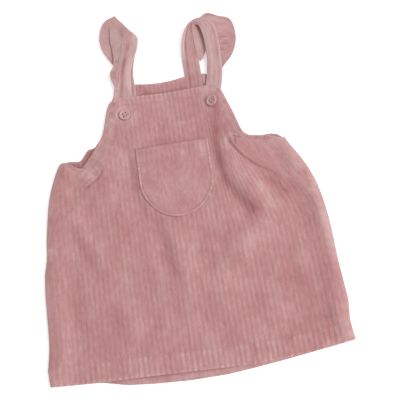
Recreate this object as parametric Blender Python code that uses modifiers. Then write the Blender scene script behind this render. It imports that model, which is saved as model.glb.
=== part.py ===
# A baby's pinafore dress in wide-rib velour, laid flat on its back with the front up.
# +Y runs up the garment, +Z up from the surface it lies on. The tables are in millimetres on the
# laid garment's own plan; place() turns them into metres about the middle of its outline.

import math

import bpy
import bmesh
from mathutils import Vector

MM = 0.001
PLAN_CENTRE = (-0.2, -3.4)      # plan point that becomes the origin

CLOTH = 1.6                     # one layer of velour
HEM_CLOTH = 2.8                 # hem, turned up once
HEM_DEPTH = 20.0
HEM_SIDE_COLUMNS = 7            # columns at each side, where the hem is pressed thin
STRAP_CLOTH = 2.6               # strap, two layers
FRILL_CLOTH = 1.4
BAND_CLOTH = 1.2                # armhole facing
SEAM_GAP = 0.3
REST_GAP = 0.4                  # between the front and what is sewn on it
FRILL_GAP = 1.6                 # frill to strap, wider because both turn over the shoulder there

SIDE_SEAM_HEIGHT = 5.4          # height of the side seam, half way up the rounded side
FRONT_ROLL = 9.0                # how far in the front's rounded side reaches
BACK_ROLL = 7.0
RIM_HEIGHT = 4.2                # how much the rounded side stands over the cloth beside it
RIM_REACH = 30.0
FLAT_CLEAR = 3.9                # lowest outer height of the front over the back
HEM_CLEAR = 6.3                 # the same where both hems lie on each other

BUTTON_RADIUS = 6.75
BUTTON_THICK = 2.6
BUTTON_HOLE_RADIUS = 0.95
BUTTON_HOLE_OFFSET = 1.55

VELOUR = (0.53, 0.275, 0.265)
SMOOTH_VELOUR = (0.56, 0.31, 0.30)
BUTTON_PINK = (0.60, 0.36, 0.35)

# Upper edge of the front, from side seam to side seam: x, y
FRONT_TOP = (
    (-132, 31.5), (-125, 31.5), (-117, 25.5), (-108.5, 21), (-103, 26), (-97, 34), (-91, 42), (-85, 50),
    (-79, 59), (-75, 74), (-72, 88), (-67, 100), (-60, 105), (-35, 104), (4, 102.7), (44, 103.3),
    (56, 104), (65, 101), (70.5, 94.5), (74, 79), (79, 65), (83, 49), (86.5, 35), (91, 30),
    (98, 28), (107, 26.5), (116, 24), (124, 19.5), (132, 18),
)
# Upper edge of the back: x, y
BACK_TOP = (
    (-132, 34), (-126, 35.5), (-109, 32.5), (-102.5, 40), (-98.5, 46), (-94, 47), (-91, 46),
    (-84, 53.5), (-78, 64), (-71, 91), (-62, 114), (-57, 122), (-52, 124), (-31, 124), (-16, 121.6),
    (0, 120.8), (14, 121.6), (28, 124), (52, 124.5), (57, 123), (66, 104), (76, 74), (83, 50),
    (88, 37), (95, 31.5), (107, 29.5), (120, 30), (126, 27), (132, 20),
)
# Lower edge of the front and of the back: x, y
FRONT_HEM = (
    (-162, -216), (-121, -218.5), (-75, -220), (-36, -221.5), (24, -224), (54, -225), (81, -224.5),
    (107, -223), (133, -220.5), (160, -217),
)
BACK_HEM = (
    (-162, -216), (-108, -219.5), (-81, -226), (-54, -228.5), (-16, -230.4), (24, -229.8), (54, -228.2),
    (81, -226.6), (108, -224.2), (132, -221.2), (160, -217),
)
# Side seams: y, left x, right x
SIDES = (
    (-216, -161.5, 159.8), (-207, -162.2, 160.4), (-198, -163.2, 159.4), (-178, -160.4, 161.3),
    (-139, -160.6, 161.7), (-99, -160.4, 162.0), (-80, -157.5, 161.6), (-60, -155.8, 160.4),
    (-40, -153.0, 157.2), (-20, -150.0, 151.5), (-5, -146.6, 144.6), (5, -143.6, 139.2),
    (19, -138.8, 131.8), (32, -132.2, 131.8),
)
# Outer height of the front away from its sides: y, height
FRONT_HEIGHT = (
    (-224, 6.4), (-200, 6.2), (-150, 5.6), (-90, 6.6), (-40, 7.0), (20, 6.4), (60, 5.0), (110, 4.6),
)
# Large folds of the front: start, middle and end of the crest, half width, rise (a trough is negative)
FRONT_FOLDS = (
    # name                        x0    y0    x1    y1    x2    y2   half  rise
    ("trough beside the pocket",   46,   66,   42,    2,   76,  -80,  13,  -2.6),
    ("ridge below the underarm",   67,   24,   82,  -24,  102,  -74,  16,   6.0),
    ("left slanting ridge",      -136,  -28,  -96,  -50,  -72, -140,  15,   3.2),
    ("left inner ridge",          -76,   20,  -72,  -20,  -60,  -50,  13,   1.6),
    ("ridge under the pocket",     -4,  -60,    0, -110,    6, -150,  15,   2.4),
    ("trough left of the ridge",  -26,  -58,  -22,  -95,  -14, -128,   9,  -1.6),
    ("edge of the bib, right",     58,   92,   60,   70,   66,   44,  16,   3.0),
)
# Crease where the cloth under the right arm folds over the front: its line, reach and step
FLAP_LINE = ((66, 36), (84, -2), (118, -34))
FLAP_REACH = 46.0
FLAP_STEP = 4.6
# Where the strap ends lie under the bib: x0, y0, x1, y1
STRAP_ENDS = ((-49.5, 62, -48.5, 110), (51, 60, 66, 112))
STRAP_END_HEIGHT = 7.4
STRAP_END_HALF = 13.0
STRAP_END_FADE = 12.0

POCKET_CENTRE = 1.1
POCKET_HALF = 43.1
POCKET_TOP = 34.4
POCKET_ROUND_Y = -9.0           # where the straight sides turn into the round bottom
POCKET_ROUND_DEPTH = 46.5

# Armhole facings: a point on the armhole edge and the point across the band from it
BAND_LEFT = (
    # edge x, y      inner x, y
    (-63.0, 101.5,  -53.0, 95.0), (-69.5, 90.5,  -58.5, 86.0), (-73.5, 77.0,  -61.5, 74.0),
    (-77.5, 62.5,  -66.0, 57.0), (-84.0, 49.0,  -71.5, 42.0), (-95.5, 34.0,  -79.5, 25.0),
    (-107.8, 20.0,  -87.0, 9.0), (-115.5, 23.5,  -97.5, 2.0), (-121.0, 27.0,  -107.0, -3.5),
    (-126.0, 29.5,  -114.5, -10.0),
)
BAND_RIGHT = (
    (67.5, 96.5,  60.5, 91.5), (70.5, 88.0,  62.5, 85.0), (73.0, 77.5,  64.0, 75.0),
    (77.5, 64.5,  66.0, 61.0), (81.5, 49.0,  70.5, 48.0), (85.5, 35.5,  74.5, 33.0),
    (90.0, 29.3,  82.5, 22.5), (98.0, 26.8,  95.5, 17.0), (107.0, 25.3,  105.0, 16.0),
    (115.5, 22.6,  111.5, 14.5),
)
# Straps, from the end behind the bib, over the shoulder, down to the back neckline
STRAP_LEFT = (
    # outer x, y, z         inner x, y, z         bow of the row's middle
    (-59.5, 64.0, 3.4,   -39.5, 64.0, 3.4,   0.0), (-60.0, 84.0, 3.5,   -39.5, 84.0, 3.5,   0.0),
    (-59.5, 103.0, 3.5,   -38.5, 103.0, 3.5,   0.0), (-57.5, 119.0, 6.4,   -36.0, 119.0, 6.4,   0.0),
    (-56.4, 137.0, 8.6,   -34.2, 138.0, 8.2,   0.0), (-55.0, 151.0, 9.6,   -30.5, 153.0, 9.2,   0.0),
    (-52.0, 168.0, 11.0,   -25.4, 167.0, 10.6,   0.0), (-47.0, 184.6, 12.2,   -22.4, 177.0, 11.6,   0.6),
    (-41.6, 195.6, 12.4,   -21.8, 181.6, 11.2,   1.2), (-37.8, 199.4, 10.2,   -22.4, 183.2, 9.0,   1.6),
    (-37.0, 200.2, 7.2,   -22.8, 183.6, 6.4,   1.6), (-38.0, 198.0, 4.4,   -23.6, 181.6, 4.0,   1.2),
    (-41.6, 189.0, 2.2,   -25.4, 174.5, 2.2,   1.0), (-47.0, 171.0, 1.4,   -28.8, 162.0, 1.4,   0.0),
    (-52.0, 150.0, 1.4,   -32.8, 147.0, 1.4,   0.0), (-53.2, 125.0, 1.4,   -33.4, 125.0, 1.4,   0.0),
)
STRAP_RIGHT = (
    (61.0, 61.0, 3.4,   42.5, 67.0, 3.4,   0.0), (65.6, 80.0, 3.5,   46.6, 85.0, 3.5,   0.0),
    (72.0, 101.0, 3.5,   53.0, 105.5, 3.5,   0.0), (76.4, 119.0, 6.4,   56.2, 119.5, 6.4,   0.0),
    (77.0, 132.0, 8.2,   58.4, 130.5, 8.4,   0.0), (77.4, 144.0, 9.2,   60.2, 141.0, 9.6,   0.0),
    (78.7, 160.0, 10.4,   61.3, 156.0, 10.8,   0.0), (78.5, 172.5, 11.4,   60.2, 169.0, 12.0,   0.0),
    (76.0, 183.6, 12.2,   57.2, 178.6, 12.6,   -0.6), (70.5, 191.4, 12.4,   52.4, 183.8, 12.4,   -1.2),
    (63.2, 195.6, 11.6,   46.6, 185.2, 11.2,   -1.8), (57.0, 196.4, 9.4,   40.0, 183.6, 9.0,   -2.4),
    (53.6, 195.0, 6.6,   35.6, 179.8, 6.2,   -2.4), (51.8, 191.2, 4.2,   33.8, 174.2, 4.0,   -2.0),
    (51.8, 181.0, 2.4,   32.2, 166.0, 2.2,   -1.2), (53.0, 164.0, 1.5,   31.4, 156.5, 1.4,   0.0),
    (52.8, 146.0, 1.4,   30.4, 144.0, 1.4,   0.0), (50.2, 125.3, 1.4,   29.0, 125.2, 1.4,   0.0),
)
# Frills: where the seam runs on the strap (row of the strap table) and the frill's free edge
FRILL_LEFT = (
    # strap row, free x, y, z
    (4.9, -56.4, 151.5, 9.0), (5.4, -61.0, 162.0, 8.6), (6.0, -65.5, 173.0, 8.2),
    (6.6, -68.8, 184.0, 8.0), (7.1, -68.6, 194.2, 8.2), (7.6, -64.8, 205.6, 8.8),
    (8.2, -58.4, 214.8, 9.6), (8.9, -51.6, 221.0, 9.6), (9.8, -47.8, 223.4, 7.6),
    (10.6, -47.4, 220.6, 5.0), (11.4, -51.0, 211.0, 3.0), (12.2, -56.0, 192.0, 1.8),
    (13.0, -56.2, 168.0, 1.4), (13.8, -57.6, 152.0, 1.4), (14.2, -61.2, 145.0, 1.4),
    (14.6, -61.6, 135.0, 1.4), (14.9, -57.0, 127.0, 1.4),
)
FRILL_RIGHT = (
    (3.6, 78.4, 127.0, 7.4), (4.1, 85.5, 133.5, 7.2), (4.7, 92.0, 140.0, 7.0),
    (5.4, 97.4, 150.0, 7.0), (6.1, 100.6, 162.0, 7.2), (6.9, 101.8, 175.0, 7.8),
    (7.8, 99.8, 186.0, 8.6), (8.6, 93.6, 193.8, 9.6), (9.4, 84.0, 198.6, 10.6),
    (10.2, 75.4, 202.2, 11.0), (11.0, 69.0, 204.6, 9.6), (11.8, 65.6, 203.6, 7.0),
    (12.6, 64.2, 199.4, 4.6), (13.4, 64.8, 190.4, 2.8), (14.2, 66.0, 178.0, 1.8),
    (15.0, 64.0, 161.0, 1.4), (15.8, 58.0, 147.0, 1.4), (16.3, 54.0, 139.0, 1.4),
)
# Buttons: name, x, y, tilt about the garment's length in degrees
BUTTONS = (
    ("button_left", -49.7, 80.7, 0.0),
    ("button_right", 55.5, 81.6, -16.0),
)


# ---- plan helpers -------------------------------------------------------------------------------

def ease(t):
    """Smooth step from 0 to 1."""
    t = min(max(t, 0.0), 1.0)
    return t * t * (3.0 - 2.0 * t)


def along(table, x, column=1):
    """Value of one column of a table at x, straight between its rows."""
    if x <= table[0][0]:
        return table[0][column]
    for low, high in zip(table, table[1:]):
        if x <= high[0]:
            part = (x - low[0]) / (high[0] - low[0])
            return low[column] + (high[column] - low[column]) * part
    return table[-1][column]


def bend(points, t):
    """Point on the curve through a fold's start, middle and end."""
    (x0, y0), (x1, y1), (x2, y2) = points
    cx = 2.0 * x1 - 0.5 * (x0 + x2)
    cy = 2.0 * y1 - 0.5 * (y0 + y2)
    a, b, c = (1 - t) ** 2, 2 * t * (1 - t), t * t
    return a * x0 + b * cx + c * x2, a * y0 + b * cy + c * y2


def nearest(points, x, y, steps=14):
    """Distance from a plan point to a fold's curve, where along it, and on which side."""
    best = None
    for step in range(steps):
        ax, ay = bend(points, step / steps)
        bx, by = bend(points, (step + 1) / steps)
        dx, dy = bx - ax, by - ay
        share = min(max(((x - ax) * dx + (y - ay) * dy) / (dx * dx + dy * dy), 0.0), 1.0)
        px, py = ax + dx * share, ay + dy * share
        gap = math.hypot(x - px, y - py)
        if best is None or gap < best[0]:
            side = 1.0 if dx * (y - ay) - dy * (x - ax) > 0 else -1.0
            best = (gap, (step + share) / steps, side)
    return best


# ---- the front's outer surface ------------------------------------------------------------------

def side_distance(x, y):
    """How far a plan point lies inside the nearer side seam."""
    return min(x - along(SIDES, y, 1), along(SIDES, y, 2) - x)


def front_height(x, y):
    """Height of the front's outer face before its sides round down."""
    height = along(FRONT_HEIGHT, y)
    inside = side_distance(x, y)
    height += RIM_HEIGHT * (1.0 - ease((inside - FRONT_ROLL) / (RIM_REACH - FRONT_ROLL)))
    for _, x0, y0, x1, y1, x2, y2, half, rise in FRONT_FOLDS:
        gap, t, _ = nearest(((x0, y0), (x1, y1), (x2, y2)), x, y)
        if gap < half:
            height += rise * math.cos(0.5 * math.pi * gap / half) ** 2 * math.sin(math.pi * t)
    gap, t, side = nearest(FLAP_LINE, x, y)
    if side > 0:
        step = ease(gap / 5.0) * (1.0 - ease((gap - 8.0) / FLAP_REACH)) * (1.0 - ease((t - 0.6) / 0.4))
        height += FLAP_STEP * step * ease(t / 0.12)
    for x0, y0, x1, y1 in STRAP_ENDS:
        middle = (0.5 * (x0 + x1), 0.5 * (y0 + y1))
        gap = nearest(((x0, y0), middle, (x1, y1)), x, y)[0]
        cover = 1.0 - ease((gap - STRAP_END_HALF) / STRAP_END_FADE)
        height = max(height, height + (STRAP_END_HEIGHT - height) * cover)
    low = HEM_CLEAR if y < along(FRONT_HEM, x) + HEM_DEPTH + 6.0 else FLAT_CLEAR
    return max(height, low)


def front_outer(x, y):
    """Height of the front's outer face, with its rounded sides."""
    inside = max(side_distance(x, y), 0.0)
    height = front_height(x, y)
    if inside >= FRONT_ROLL:
        return height
    round_part = math.sqrt(1.0 - (1.0 - inside / FRONT_ROLL) ** 2)
    seam = SIDE_SEAM_HEIGHT + SEAM_GAP
    return seam + (height - seam) * round_part


def resting_height(x, y):
    """Height of what lies on the front: it bridges the front's small hollows."""
    reach = 5.0
    spots = [(x + dx, y + dy) for dx in (-reach, 0, reach) for dy in (-reach, 0, reach)]
    return max(front_outer(*spot) for spot in spots) + REST_GAP


def back_outer(x, y):
    """Height of the back's outer face: flat on the surface, rounding up to the side seams."""
    inside = max(side_distance(x, y), 0.0)
    if inside >= BACK_ROLL:
        return 0.0
    round_part = math.sqrt(1.0 - (1.0 - inside / BACK_ROLL) ** 2)
    return (SIDE_SEAM_HEIGHT - SEAM_GAP) * (1.0 - round_part)


# ---- making solids ------------------------------------------------------------------------------

def place(x, y, z):
    return Vector(((x - PLAN_CENTRE[0]) * MM, (y - PLAN_CENTRE[1]) * MM, z * MM))


def material(name, colour, roughness):
    made = bpy.data.materials.new(name)
    made.use_nodes = True
    shader = made.node_tree.nodes["Principled BSDF"]
    shader.inputs["Base Color"].default_value = (*colour, 1.0)
    shader.inputs["Roughness"].default_value = roughness
    shader.inputs["Metallic"].default_value = 0.0
    return made


def add_object(name, mesh, colour, roughness):
    made = bpy.data.objects.new(name, mesh)
    garment.objects.link(made)
    mesh.materials.append(material(name, colour, roughness))
    mesh.shade_smooth()
    return made


def cloth(name, grid, thick, colour, offset=-1.0, hem_rows=0, facing=1.0):
    """A closed wall of cloth from a grid of points on its outer (offset -1) or middle (0) face.

    grid is a list of columns of (x, y, z). The first hem_rows points of each column are hemmed,
    except beside the side seams, where the hem is pressed thin.
    """
    columns, rows = len(grid), len(grid[0])
    form = bmesh.new()
    bmesh.ops.create_grid(form, x_segments=columns - 1, y_segments=rows - 1, size=1.0)
    # the grid's vertices are put in order: by column, then by row
    ordered = sorted(form.verts, key=lambda v: (round(v.co.x, 5), round(v.co.y, 5)))
    for number, vert in enumerate(ordered):
        vert.co = place(*grid[number // rows][number % rows])
    if facing < 0:
        bmesh.ops.reverse_faces(form, faces=form.faces)
    middle = range(HEM_SIDE_COLUMNS, columns - HEM_SIDE_COLUMNS)
    hemmed = [v.index for n, v in enumerate(ordered) if n % rows < hem_rows and n // rows in middle]
    mesh = bpy.data.meshes.new(name)
    form.to_mesh(mesh)
    form.free()
    made = add_object(name, mesh, colour, 0.9)
    wall = made.modifiers.new("wall", "SOLIDIFY")
    wall.offset = offset
    wall.thickness = thick * MM
    if hem_rows:
        group = made.vertex_groups.new(name="hem")
        group.add(hemmed, 1.0, "REPLACE")
        wall.vertex_group = "hem"
        wall.thickness = HEM_CLOTH * MM
        wall.thickness_vertex_group = thick / HEM_CLOTH
    return made


def panel_grid(top, hem, column_tops, row_shares, outer):
    """Columns that run from the hem to the upper edge, spreading with the side seams."""
    grid = []
    left_top, right_top = top[0], top[-1]
    for x_top in column_tops:
        y_top = along(top, x_top)
        left = 1.0 - ease((x_top - left_top[0]) / 74.0)
        right = 1.0 - ease((right_top[0] - x_top) / 60.0)

        def column_x(y):
            x = x_top + left * (along(SIDES, y, 1) - along(SIDES, y_top, 1))
            return x + right * (along(SIDES, y, 2) - along(SIDES, y_top, 2))

        y_hem = along(hem, column_x(-216.0))
        column = []
        for share in row_shares:
            y = y_hem + (y_top - y_hem) * share
            x = column_x(y)
            column.append((x, y, outer(x, y)))
        grid.append(column)
    return grid


def column_places(top, roll, widest, keys):
    """Plan x of the columns at the upper edge: close on the rounded sides, and on every key point."""
    left, right = top[0][0], top[-1][0]
    angles = [math.radians(a) for a in (0, 22, 45, 67, 90)]
    places = [left + roll * (1 - math.cos(a)) for a in angles]
    stops = [places[-1]] + list(keys) + [right - roll]
    for low, high in zip(stops, stops[1:]):
        count = max(1, round((high - low) / widest))
        places += [low + (high - low) * n / count for n in range(1, count + 1)]
    places += [right - roll * (1 - math.cos(a)) for a in reversed(angles[:-1])]
    return places


def smooth_row(table, place_along):
    """Row of a table at a fractional place, on a smooth curve through its rows."""
    last = len(table) - 1
    low = min(int(place_along), last - 1)
    t = place_along - low
    rows = [table[min(max(low + n, 0), last)] for n in (-1, 0, 1, 2)]
    blended = []
    for a, b, c, d in zip(*rows):
        blended.append(0.5 * (2 * b + (c - a) * t + (2 * a - 5 * b + 4 * c - d) * t * t
                              + (3 * b - a - 3 * c + d) * t ** 3))
    return blended


# ---- the pieces ---------------------------------------------------------------------------------

def make_front():
    keys = (-117, -108.5, -97, -85, -79, -75, -67, -60, 56, 65, 70.5, 74, 79, 83, 86.5, 91, 107)
    columns = column_places(FRONT_TOP, FRONT_ROLL, 8.6, keys)
    shares = [0.0, 0.045] + [0.045 + 0.955 * n / 18 for n in range(1, 19)]
    grid = panel_grid(FRONT_TOP, FRONT_HEM, columns, shares, front_outer)
    return cloth("front_panel", grid, CLOTH, VELOUR, hem_rows=2)


def make_back():
    keys = (-109, -98.5, -91, -78, -57, -31, 0, 28, 57, 76, 88, 107)
    columns = column_places(BACK_TOP, BACK_ROLL, 18.0, keys)
    shares = [0.0, 0.05, 0.06, 0.2, 0.35, 0.5, 0.6, 0.68, 0.76, 0.82, 0.88, 0.94, 1.0]
    grid = panel_grid(BACK_TOP, BACK_HEM, columns, shares, back_outer)
    return cloth("back_panel", grid, CLOTH, VELOUR, hem_rows=2, facing=-1.0)


def make_pocket():
    """The patch pocket, made from the front's points and moved out."""
    rows = [POCKET_TOP - (POCKET_TOP - POCKET_ROUND_Y) * n / 4 for n in range(4)]
    rows += [POCKET_ROUND_Y - POCKET_ROUND_DEPTH * math.sin(math.radians(a)) for a in (0, 16, 32, 47, 60, 71, 80)]
    grid = []
    for column in range(11):
        across = -1.0 + 2.0 * column / 10
        line = []
        for y in rows:
            drop = max(0.0, (POCKET_ROUND_Y - y) / POCKET_ROUND_DEPTH)
            x = POCKET_CENTRE + POCKET_HALF * math.sqrt(1.0 - drop * drop) * across
            line.append((x, y, resting_height(x, y) + CLOTH))
        grid.append(list(reversed(line)))
    return cloth("pocket", grid, CLOTH, VELOUR)


def make_band(name, table):
    """An armhole facing, made from the front's points and moved out."""
    grid = []
    for edge_x, edge_y, inner_x, inner_y in table:
        line = []
        for step in range(4):
            share = step / 3
            x = edge_x + (inner_x - edge_x) * share
            y = edge_y + (inner_y - edge_y) * share
            line.append((x, y, resting_height(x, y) + BAND_CLOTH))
        grid.append(line)
    facing = 1.0 if name.endswith("left") else -1.0
    return cloth(name, grid, BAND_CLOTH, SMOOTH_VELOUR, facing=-facing)


def strap_point(table, place_along, across):
    """Point of a strap's middle face: across runs from its outer edge, 0, to its inner edge, 1."""
    *ends, bow = smooth_row(table, place_along)
    outer, inner = Vector(ends[:3]), Vector(ends[3:])
    chord = inner - outer
    ahead = Vector((-chord.y, chord.x, 0.0)).normalized()
    return outer + chord * across + ahead * (4.0 * across * (1.0 - across) * bow)


def make_strap(name, table):
    grid = []
    steps = 2 * (len(table) - 1)
    for step in range(steps + 1):
        grid.append([strap_point(table, step / 2, n / 3) for n in range(4)])
    return cloth(name, grid, STRAP_CLOTH, VELOUR, offset=0.0)


def make_frill(name, table, strap):
    """A frill from the strap's outer edge to its own free edge, rippling a little towards it."""
    grid = []
    steps = 2 * (len(table) - 1)
    for step in range(steps + 1):
        strap_row, *free = smooth_row(table, step / 2)
        outer = strap_point(strap, strap_row, 0.0)
        away = (outer - strap_point(strap, strap_row, 1.0)).normalized()
        seam = outer + away * FRILL_GAP
        grid.append([tuple(seam.lerp(Vector(free), n / 3)) for n in range(4)])
    return cloth(name, grid, FRILL_CLOTH, SMOOTH_VELOUR, offset=0.0)


def make_button(name, x, y, tilt):
    """A round four-hole button with a rounded rim, just above the bib."""
    bpy.ops.mesh.primitive_cylinder_add(vertices=28, radius=BUTTON_RADIUS * MM, depth=BUTTON_THICK * MM)
    body = bpy.context.active_object
    body.name = name
    for holder in list(body.users_collection):
        holder.objects.unlink(body)
    garment.objects.link(body)
    body.data.materials.append(material(name, BUTTON_PINK, 0.45))
    rounding = body.modifiers.new("rim", "BEVEL")
    rounding.width = 0.8 * MM
    rounding.segments = 2
    rounding.limit_method = "ANGLE"
    for side_x in (-1, 1):
        for side_y in (-1, 1):
            bpy.ops.mesh.primitive_cylinder_add(vertices=10, radius=BUTTON_HOLE_RADIUS * MM, depth=8 * MM)
            hole = bpy.context.active_object
            hole.name = f"{name}_hole_{side_x}_{side_y}"
            hole.location = (side_x * BUTTON_HOLE_OFFSET * MM, side_y * BUTTON_HOLE_OFFSET * MM, 0)
            hole.parent = body
            hole.hide_render = True
            hole.display_type = "WIRE"
            for holder in list(hole.users_collection):
                holder.objects.unlink(hole)
            cutters.objects.link(hole)
            cut = body.modifiers.new("hole", "BOOLEAN")
            cut.object = hole
    lift = abs(math.sin(math.radians(tilt))) * BUTTON_RADIUS
    body.location = place(x, y, front_outer(x, y) + 0.5 + lift + 0.5 * BUTTON_THICK)
    body.rotation_euler = (0.0, math.radians(tilt), math.radians(28))
    return body


for old in list(bpy.data.objects):
    bpy.data.objects.remove(old, do_unlink=True)

garment = bpy.data.collections.new("pinafore_dress")
cutters = bpy.data.collections.new("cutters")
bpy.context.scene.collection.children.link(garment)
bpy.context.scene.collection.children.link(cutters)

make_front()
make_back()
make_pocket()
make_band("armhole_band_left", BAND_LEFT)
make_band("armhole_band_right", BAND_RIGHT)
make_strap("strap_left", STRAP_LEFT)
make_strap("strap_right", STRAP_RIGHT)
make_frill("frill_left", FRILL_LEFT, STRAP_LEFT)
make_frill("frill_right", FRILL_RIGHT, STRAP_RIGHT)
for button in BUTTONS:
    make_button(*button)
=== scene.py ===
# A baby's pinafore dress in wide-rib velour, laid flat on its back with the front up.
# Plan measures are millimetres on the laid dress: x across, y from hem to straps, z up from the table.
import math

import bmesh
import bpy
import numpy as np
from mathutils import Matrix, Vector


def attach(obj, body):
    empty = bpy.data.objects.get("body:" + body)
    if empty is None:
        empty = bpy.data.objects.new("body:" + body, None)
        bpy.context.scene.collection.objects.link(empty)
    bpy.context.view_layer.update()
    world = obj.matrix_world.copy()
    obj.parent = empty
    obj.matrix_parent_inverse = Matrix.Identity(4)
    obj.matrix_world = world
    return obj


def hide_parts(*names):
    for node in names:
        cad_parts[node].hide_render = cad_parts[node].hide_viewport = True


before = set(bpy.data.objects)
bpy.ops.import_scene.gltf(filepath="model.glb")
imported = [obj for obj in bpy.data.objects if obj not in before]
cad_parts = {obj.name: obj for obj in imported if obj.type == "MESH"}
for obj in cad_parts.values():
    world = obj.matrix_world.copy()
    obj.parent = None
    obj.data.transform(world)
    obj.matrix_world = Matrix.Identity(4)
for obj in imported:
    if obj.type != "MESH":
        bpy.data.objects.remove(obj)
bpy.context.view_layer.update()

mm = 0.001
dress = {
    "origin": (0.2, 3.4),  # added to plan x and y to reach the frame's own origin
    "cloth": 1.6, "hemCloth": 2.8, "hemDepth": 20.0, "bibHem": 10.0,
    "ribPitch": 5.6,
    "seamHeight": 5.4,  # side seams, half way up the rounded sides
    "seamHalfGap": 0.03,  # from a side seam to the front's edge and to the back's
    "lowest": 0.05,  # nothing of the cloth goes below this
    "softSides": 4.0, "softTop": 1.6, "softHem": 3.0,  # rounding of the outline's corners
    # how far in from its left and right edge a panel's columns slant with the side seams, and how far
    # in they are moved so that the outermost lie on the seams
    "slant": (74.0, 60.0), "fit": 12.0,
}

# Seeds of everything uneven
seeds = {
    "ribs": 11, "frontForm": 21, "frontEdges": 23, "pocketEdge": 31, "bandNap": 41, "bandForm": 42,
    "leftStrap": 51, "rightStrap": 52, "frill": 61,
}
# Where pieces lie on the flat cloth, far enough apart for each to have a nap of its own
napShift = {"back": 700, "pocket": 400, "band": 900, "strap": 1300, "frill": 1700}

# Upper and lower edges as x, y; side seams as y, left x, right x
outline = {
    "frontTop": (
        (-134, 28.6), (-132, 31.2), (-129, 31.9), (-125, 31.5), (-117, 25.5), (-108.5, 21), (-103, 26),
        (-97, 34), (-91, 42), (-85, 50), (-79, 59), (-75, 74), (-72, 88), (-67, 100), (-60, 105),
        (-35, 104), (4, 102.7), (44, 103.3), (56, 104), (65.6, 101.6), (71.5, 94.7), (75.2, 79.3),
        (80, 65.2), (83.6, 49.4), (86.5, 35), (91, 30), (98, 28), (107, 26.5), (116, 24.5), (125, 20.5),
        (134, 18),
    ),
    "backTop": (
        (-134, 29.8), (-132, 32.8), (-128.6, 34.4), (-124, 35), (-109, 33), (-103.6, 40), (-99.8, 46),
        (-95, 47.2), (-91.5, 46.4), (-85.2, 53.5), (-78.3, 64), (-70.5, 91), (-61, 112), (-56, 121),
        (-51, 124), (-31, 124), (-16, 121.6), (0, 120.8), (14, 121.6), (28, 124), (52, 124.5), (57, 123),
        (66, 104), (76, 74), (83, 50), (88, 37), (95, 31.5), (107, 29.5), (120, 30), (127.5, 27.5),
        (134, 20),
    ),
    "frontHem": (
        (-162, -216), (-121, -218.5), (-75, -220), (-36, -221.5), (24, -224), (54, -225), (81, -224.5),
        (107, -223), (133, -220.5), (160, -217),
    ),
    "backHem": (
        (-162, -216), (-108, -219.5), (-81, -226), (-54, -228.8), (-16, -231.2), (24, -231.2),
        (54, -228.9), (81, -226.4), (108, -223.4), (132, -220.6), (160, -217),
    ),
    "sides": (
        (-216, -160.2, 161.1), (-207, -160.9, 159.6), (-198, -161.7, 159.3), (-187, -160.1, 161.1),
        (-176, -158.7, 162.9), (-160, -158.7, 162.5), (-147, -159.1, 162.3), (-133, -159.3, 161.8),
        (-119, -159.6, 162.2), (-99, -158.7, 162.8), (-80, -155.1, 162.6), (-60, -154.4, 161.5),
        (-40, -152.2, 158.4), (-20, -149.9, 152.8), (-5, -146.8, 146.2), (5, -143.7, 140.9),
        (19, -138.8, 133.8), (26, -135.2, 134), (34, -132.2, 134),
    ),
}


# Plan helpers

def ease(value, start=0.0, length=1.0):  # 0 before start, softly up to 1 over length
    t = np.clip((value - start) / length, 0.0, 1.0)
    return t * t * (3.0 - 2.0 * t)


def fade(value, start, length):  # the same from 1 down to 0
    return 1.0 - ease(value, start, length)


def hump(gap, half):  # 1 on a line, fading to both sides
    return np.exp(-(gap / half) ** 2)


def readTable(table, x):
    rows = np.array(table, float)
    return np.interp(x, rows[:, 0], rows[:, 1])


def softTable(table, x, radius, column=1):  # the same, with its corners rounded
    step = 0.4
    rows = np.array(table, float)
    first, last = rows[0, 0] - 4 * radius, rows[-1, 0] + 4 * radius
    fine = np.arange(first - 4 * radius, last + 4 * radius, step)
    window = np.exp(-0.5 * (np.arange(-3 * radius, 3 * radius + step, step) / radius) ** 2)
    values = np.interp(fine, rows[:, 0], rows[:, column])
    return np.interp(np.clip(x, first, last), fine, np.convolve(values, window / window.sum(), "same"))


def seamX(y, column):  # column 1 is the left side seam, 2 the right
    return softTable(outline["sides"], y, dress["softSides"], column)


def edgeY(edge, x):  # an upper edge or a hem
    return softTable(outline[edge], x, dress["softTop" if edge.endswith("Top") else "softHem"])


def sideGap(x, y):  # how far in from the nearer side seam
    return np.minimum(x - seamX(y, 1), seamX(y, 2) - x)


def smoothRows(table, places):  # rows of a table at fractional places
    rows = np.array(table, float)
    last = len(rows) - 1
    places = np.atleast_1d(np.asarray(places, float))
    low = np.clip(places.astype(int), 0, last - 1)
    t = (places - low)[:, None]
    a, b, c, d = (rows[np.clip(low + n, 0, last)] for n in (-1, 0, 1, 2))
    bend, twist = 2 * a - 5 * b + 4 * c - d, 3 * b - a - 3 * c + d
    return 0.5 * (2 * b + (c - a) * t + bend * t ** 2 + twist * t ** 3)


def foldPlace(points, x, y):  # signed gap to a fold's line, and where along it
    knots = smoothRows(points, np.linspace(0, len(points) - 1, 4 * len(points) + 5))
    best = np.full(np.shape(x), 1e9)
    where = np.zeros(np.shape(x))
    side = np.ones(np.shape(x))
    pieces = len(knots) - 1
    for n in range(pieces):
        (ax, ay), (bx, by) = knots[n], knots[n + 1]
        dx, dy = bx - ax, by - ay
        share = np.clip(((x - ax) * dx + (y - ay) * dy) / (dx * dx + dy * dy), 0.0, 1.0)
        gap = np.hypot(x - ax - dx * share, y - ay - dy * share)
        nearer = gap < best
        best = np.where(nearer, gap, best)
        where = np.where(nearer, (n + share) / pieces, where)
        side = np.where(nearer, np.sign(dx * (y - ay) - dy * (x - ax)), side)
    return best * np.where(side == 0, 1.0, side), where


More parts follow.
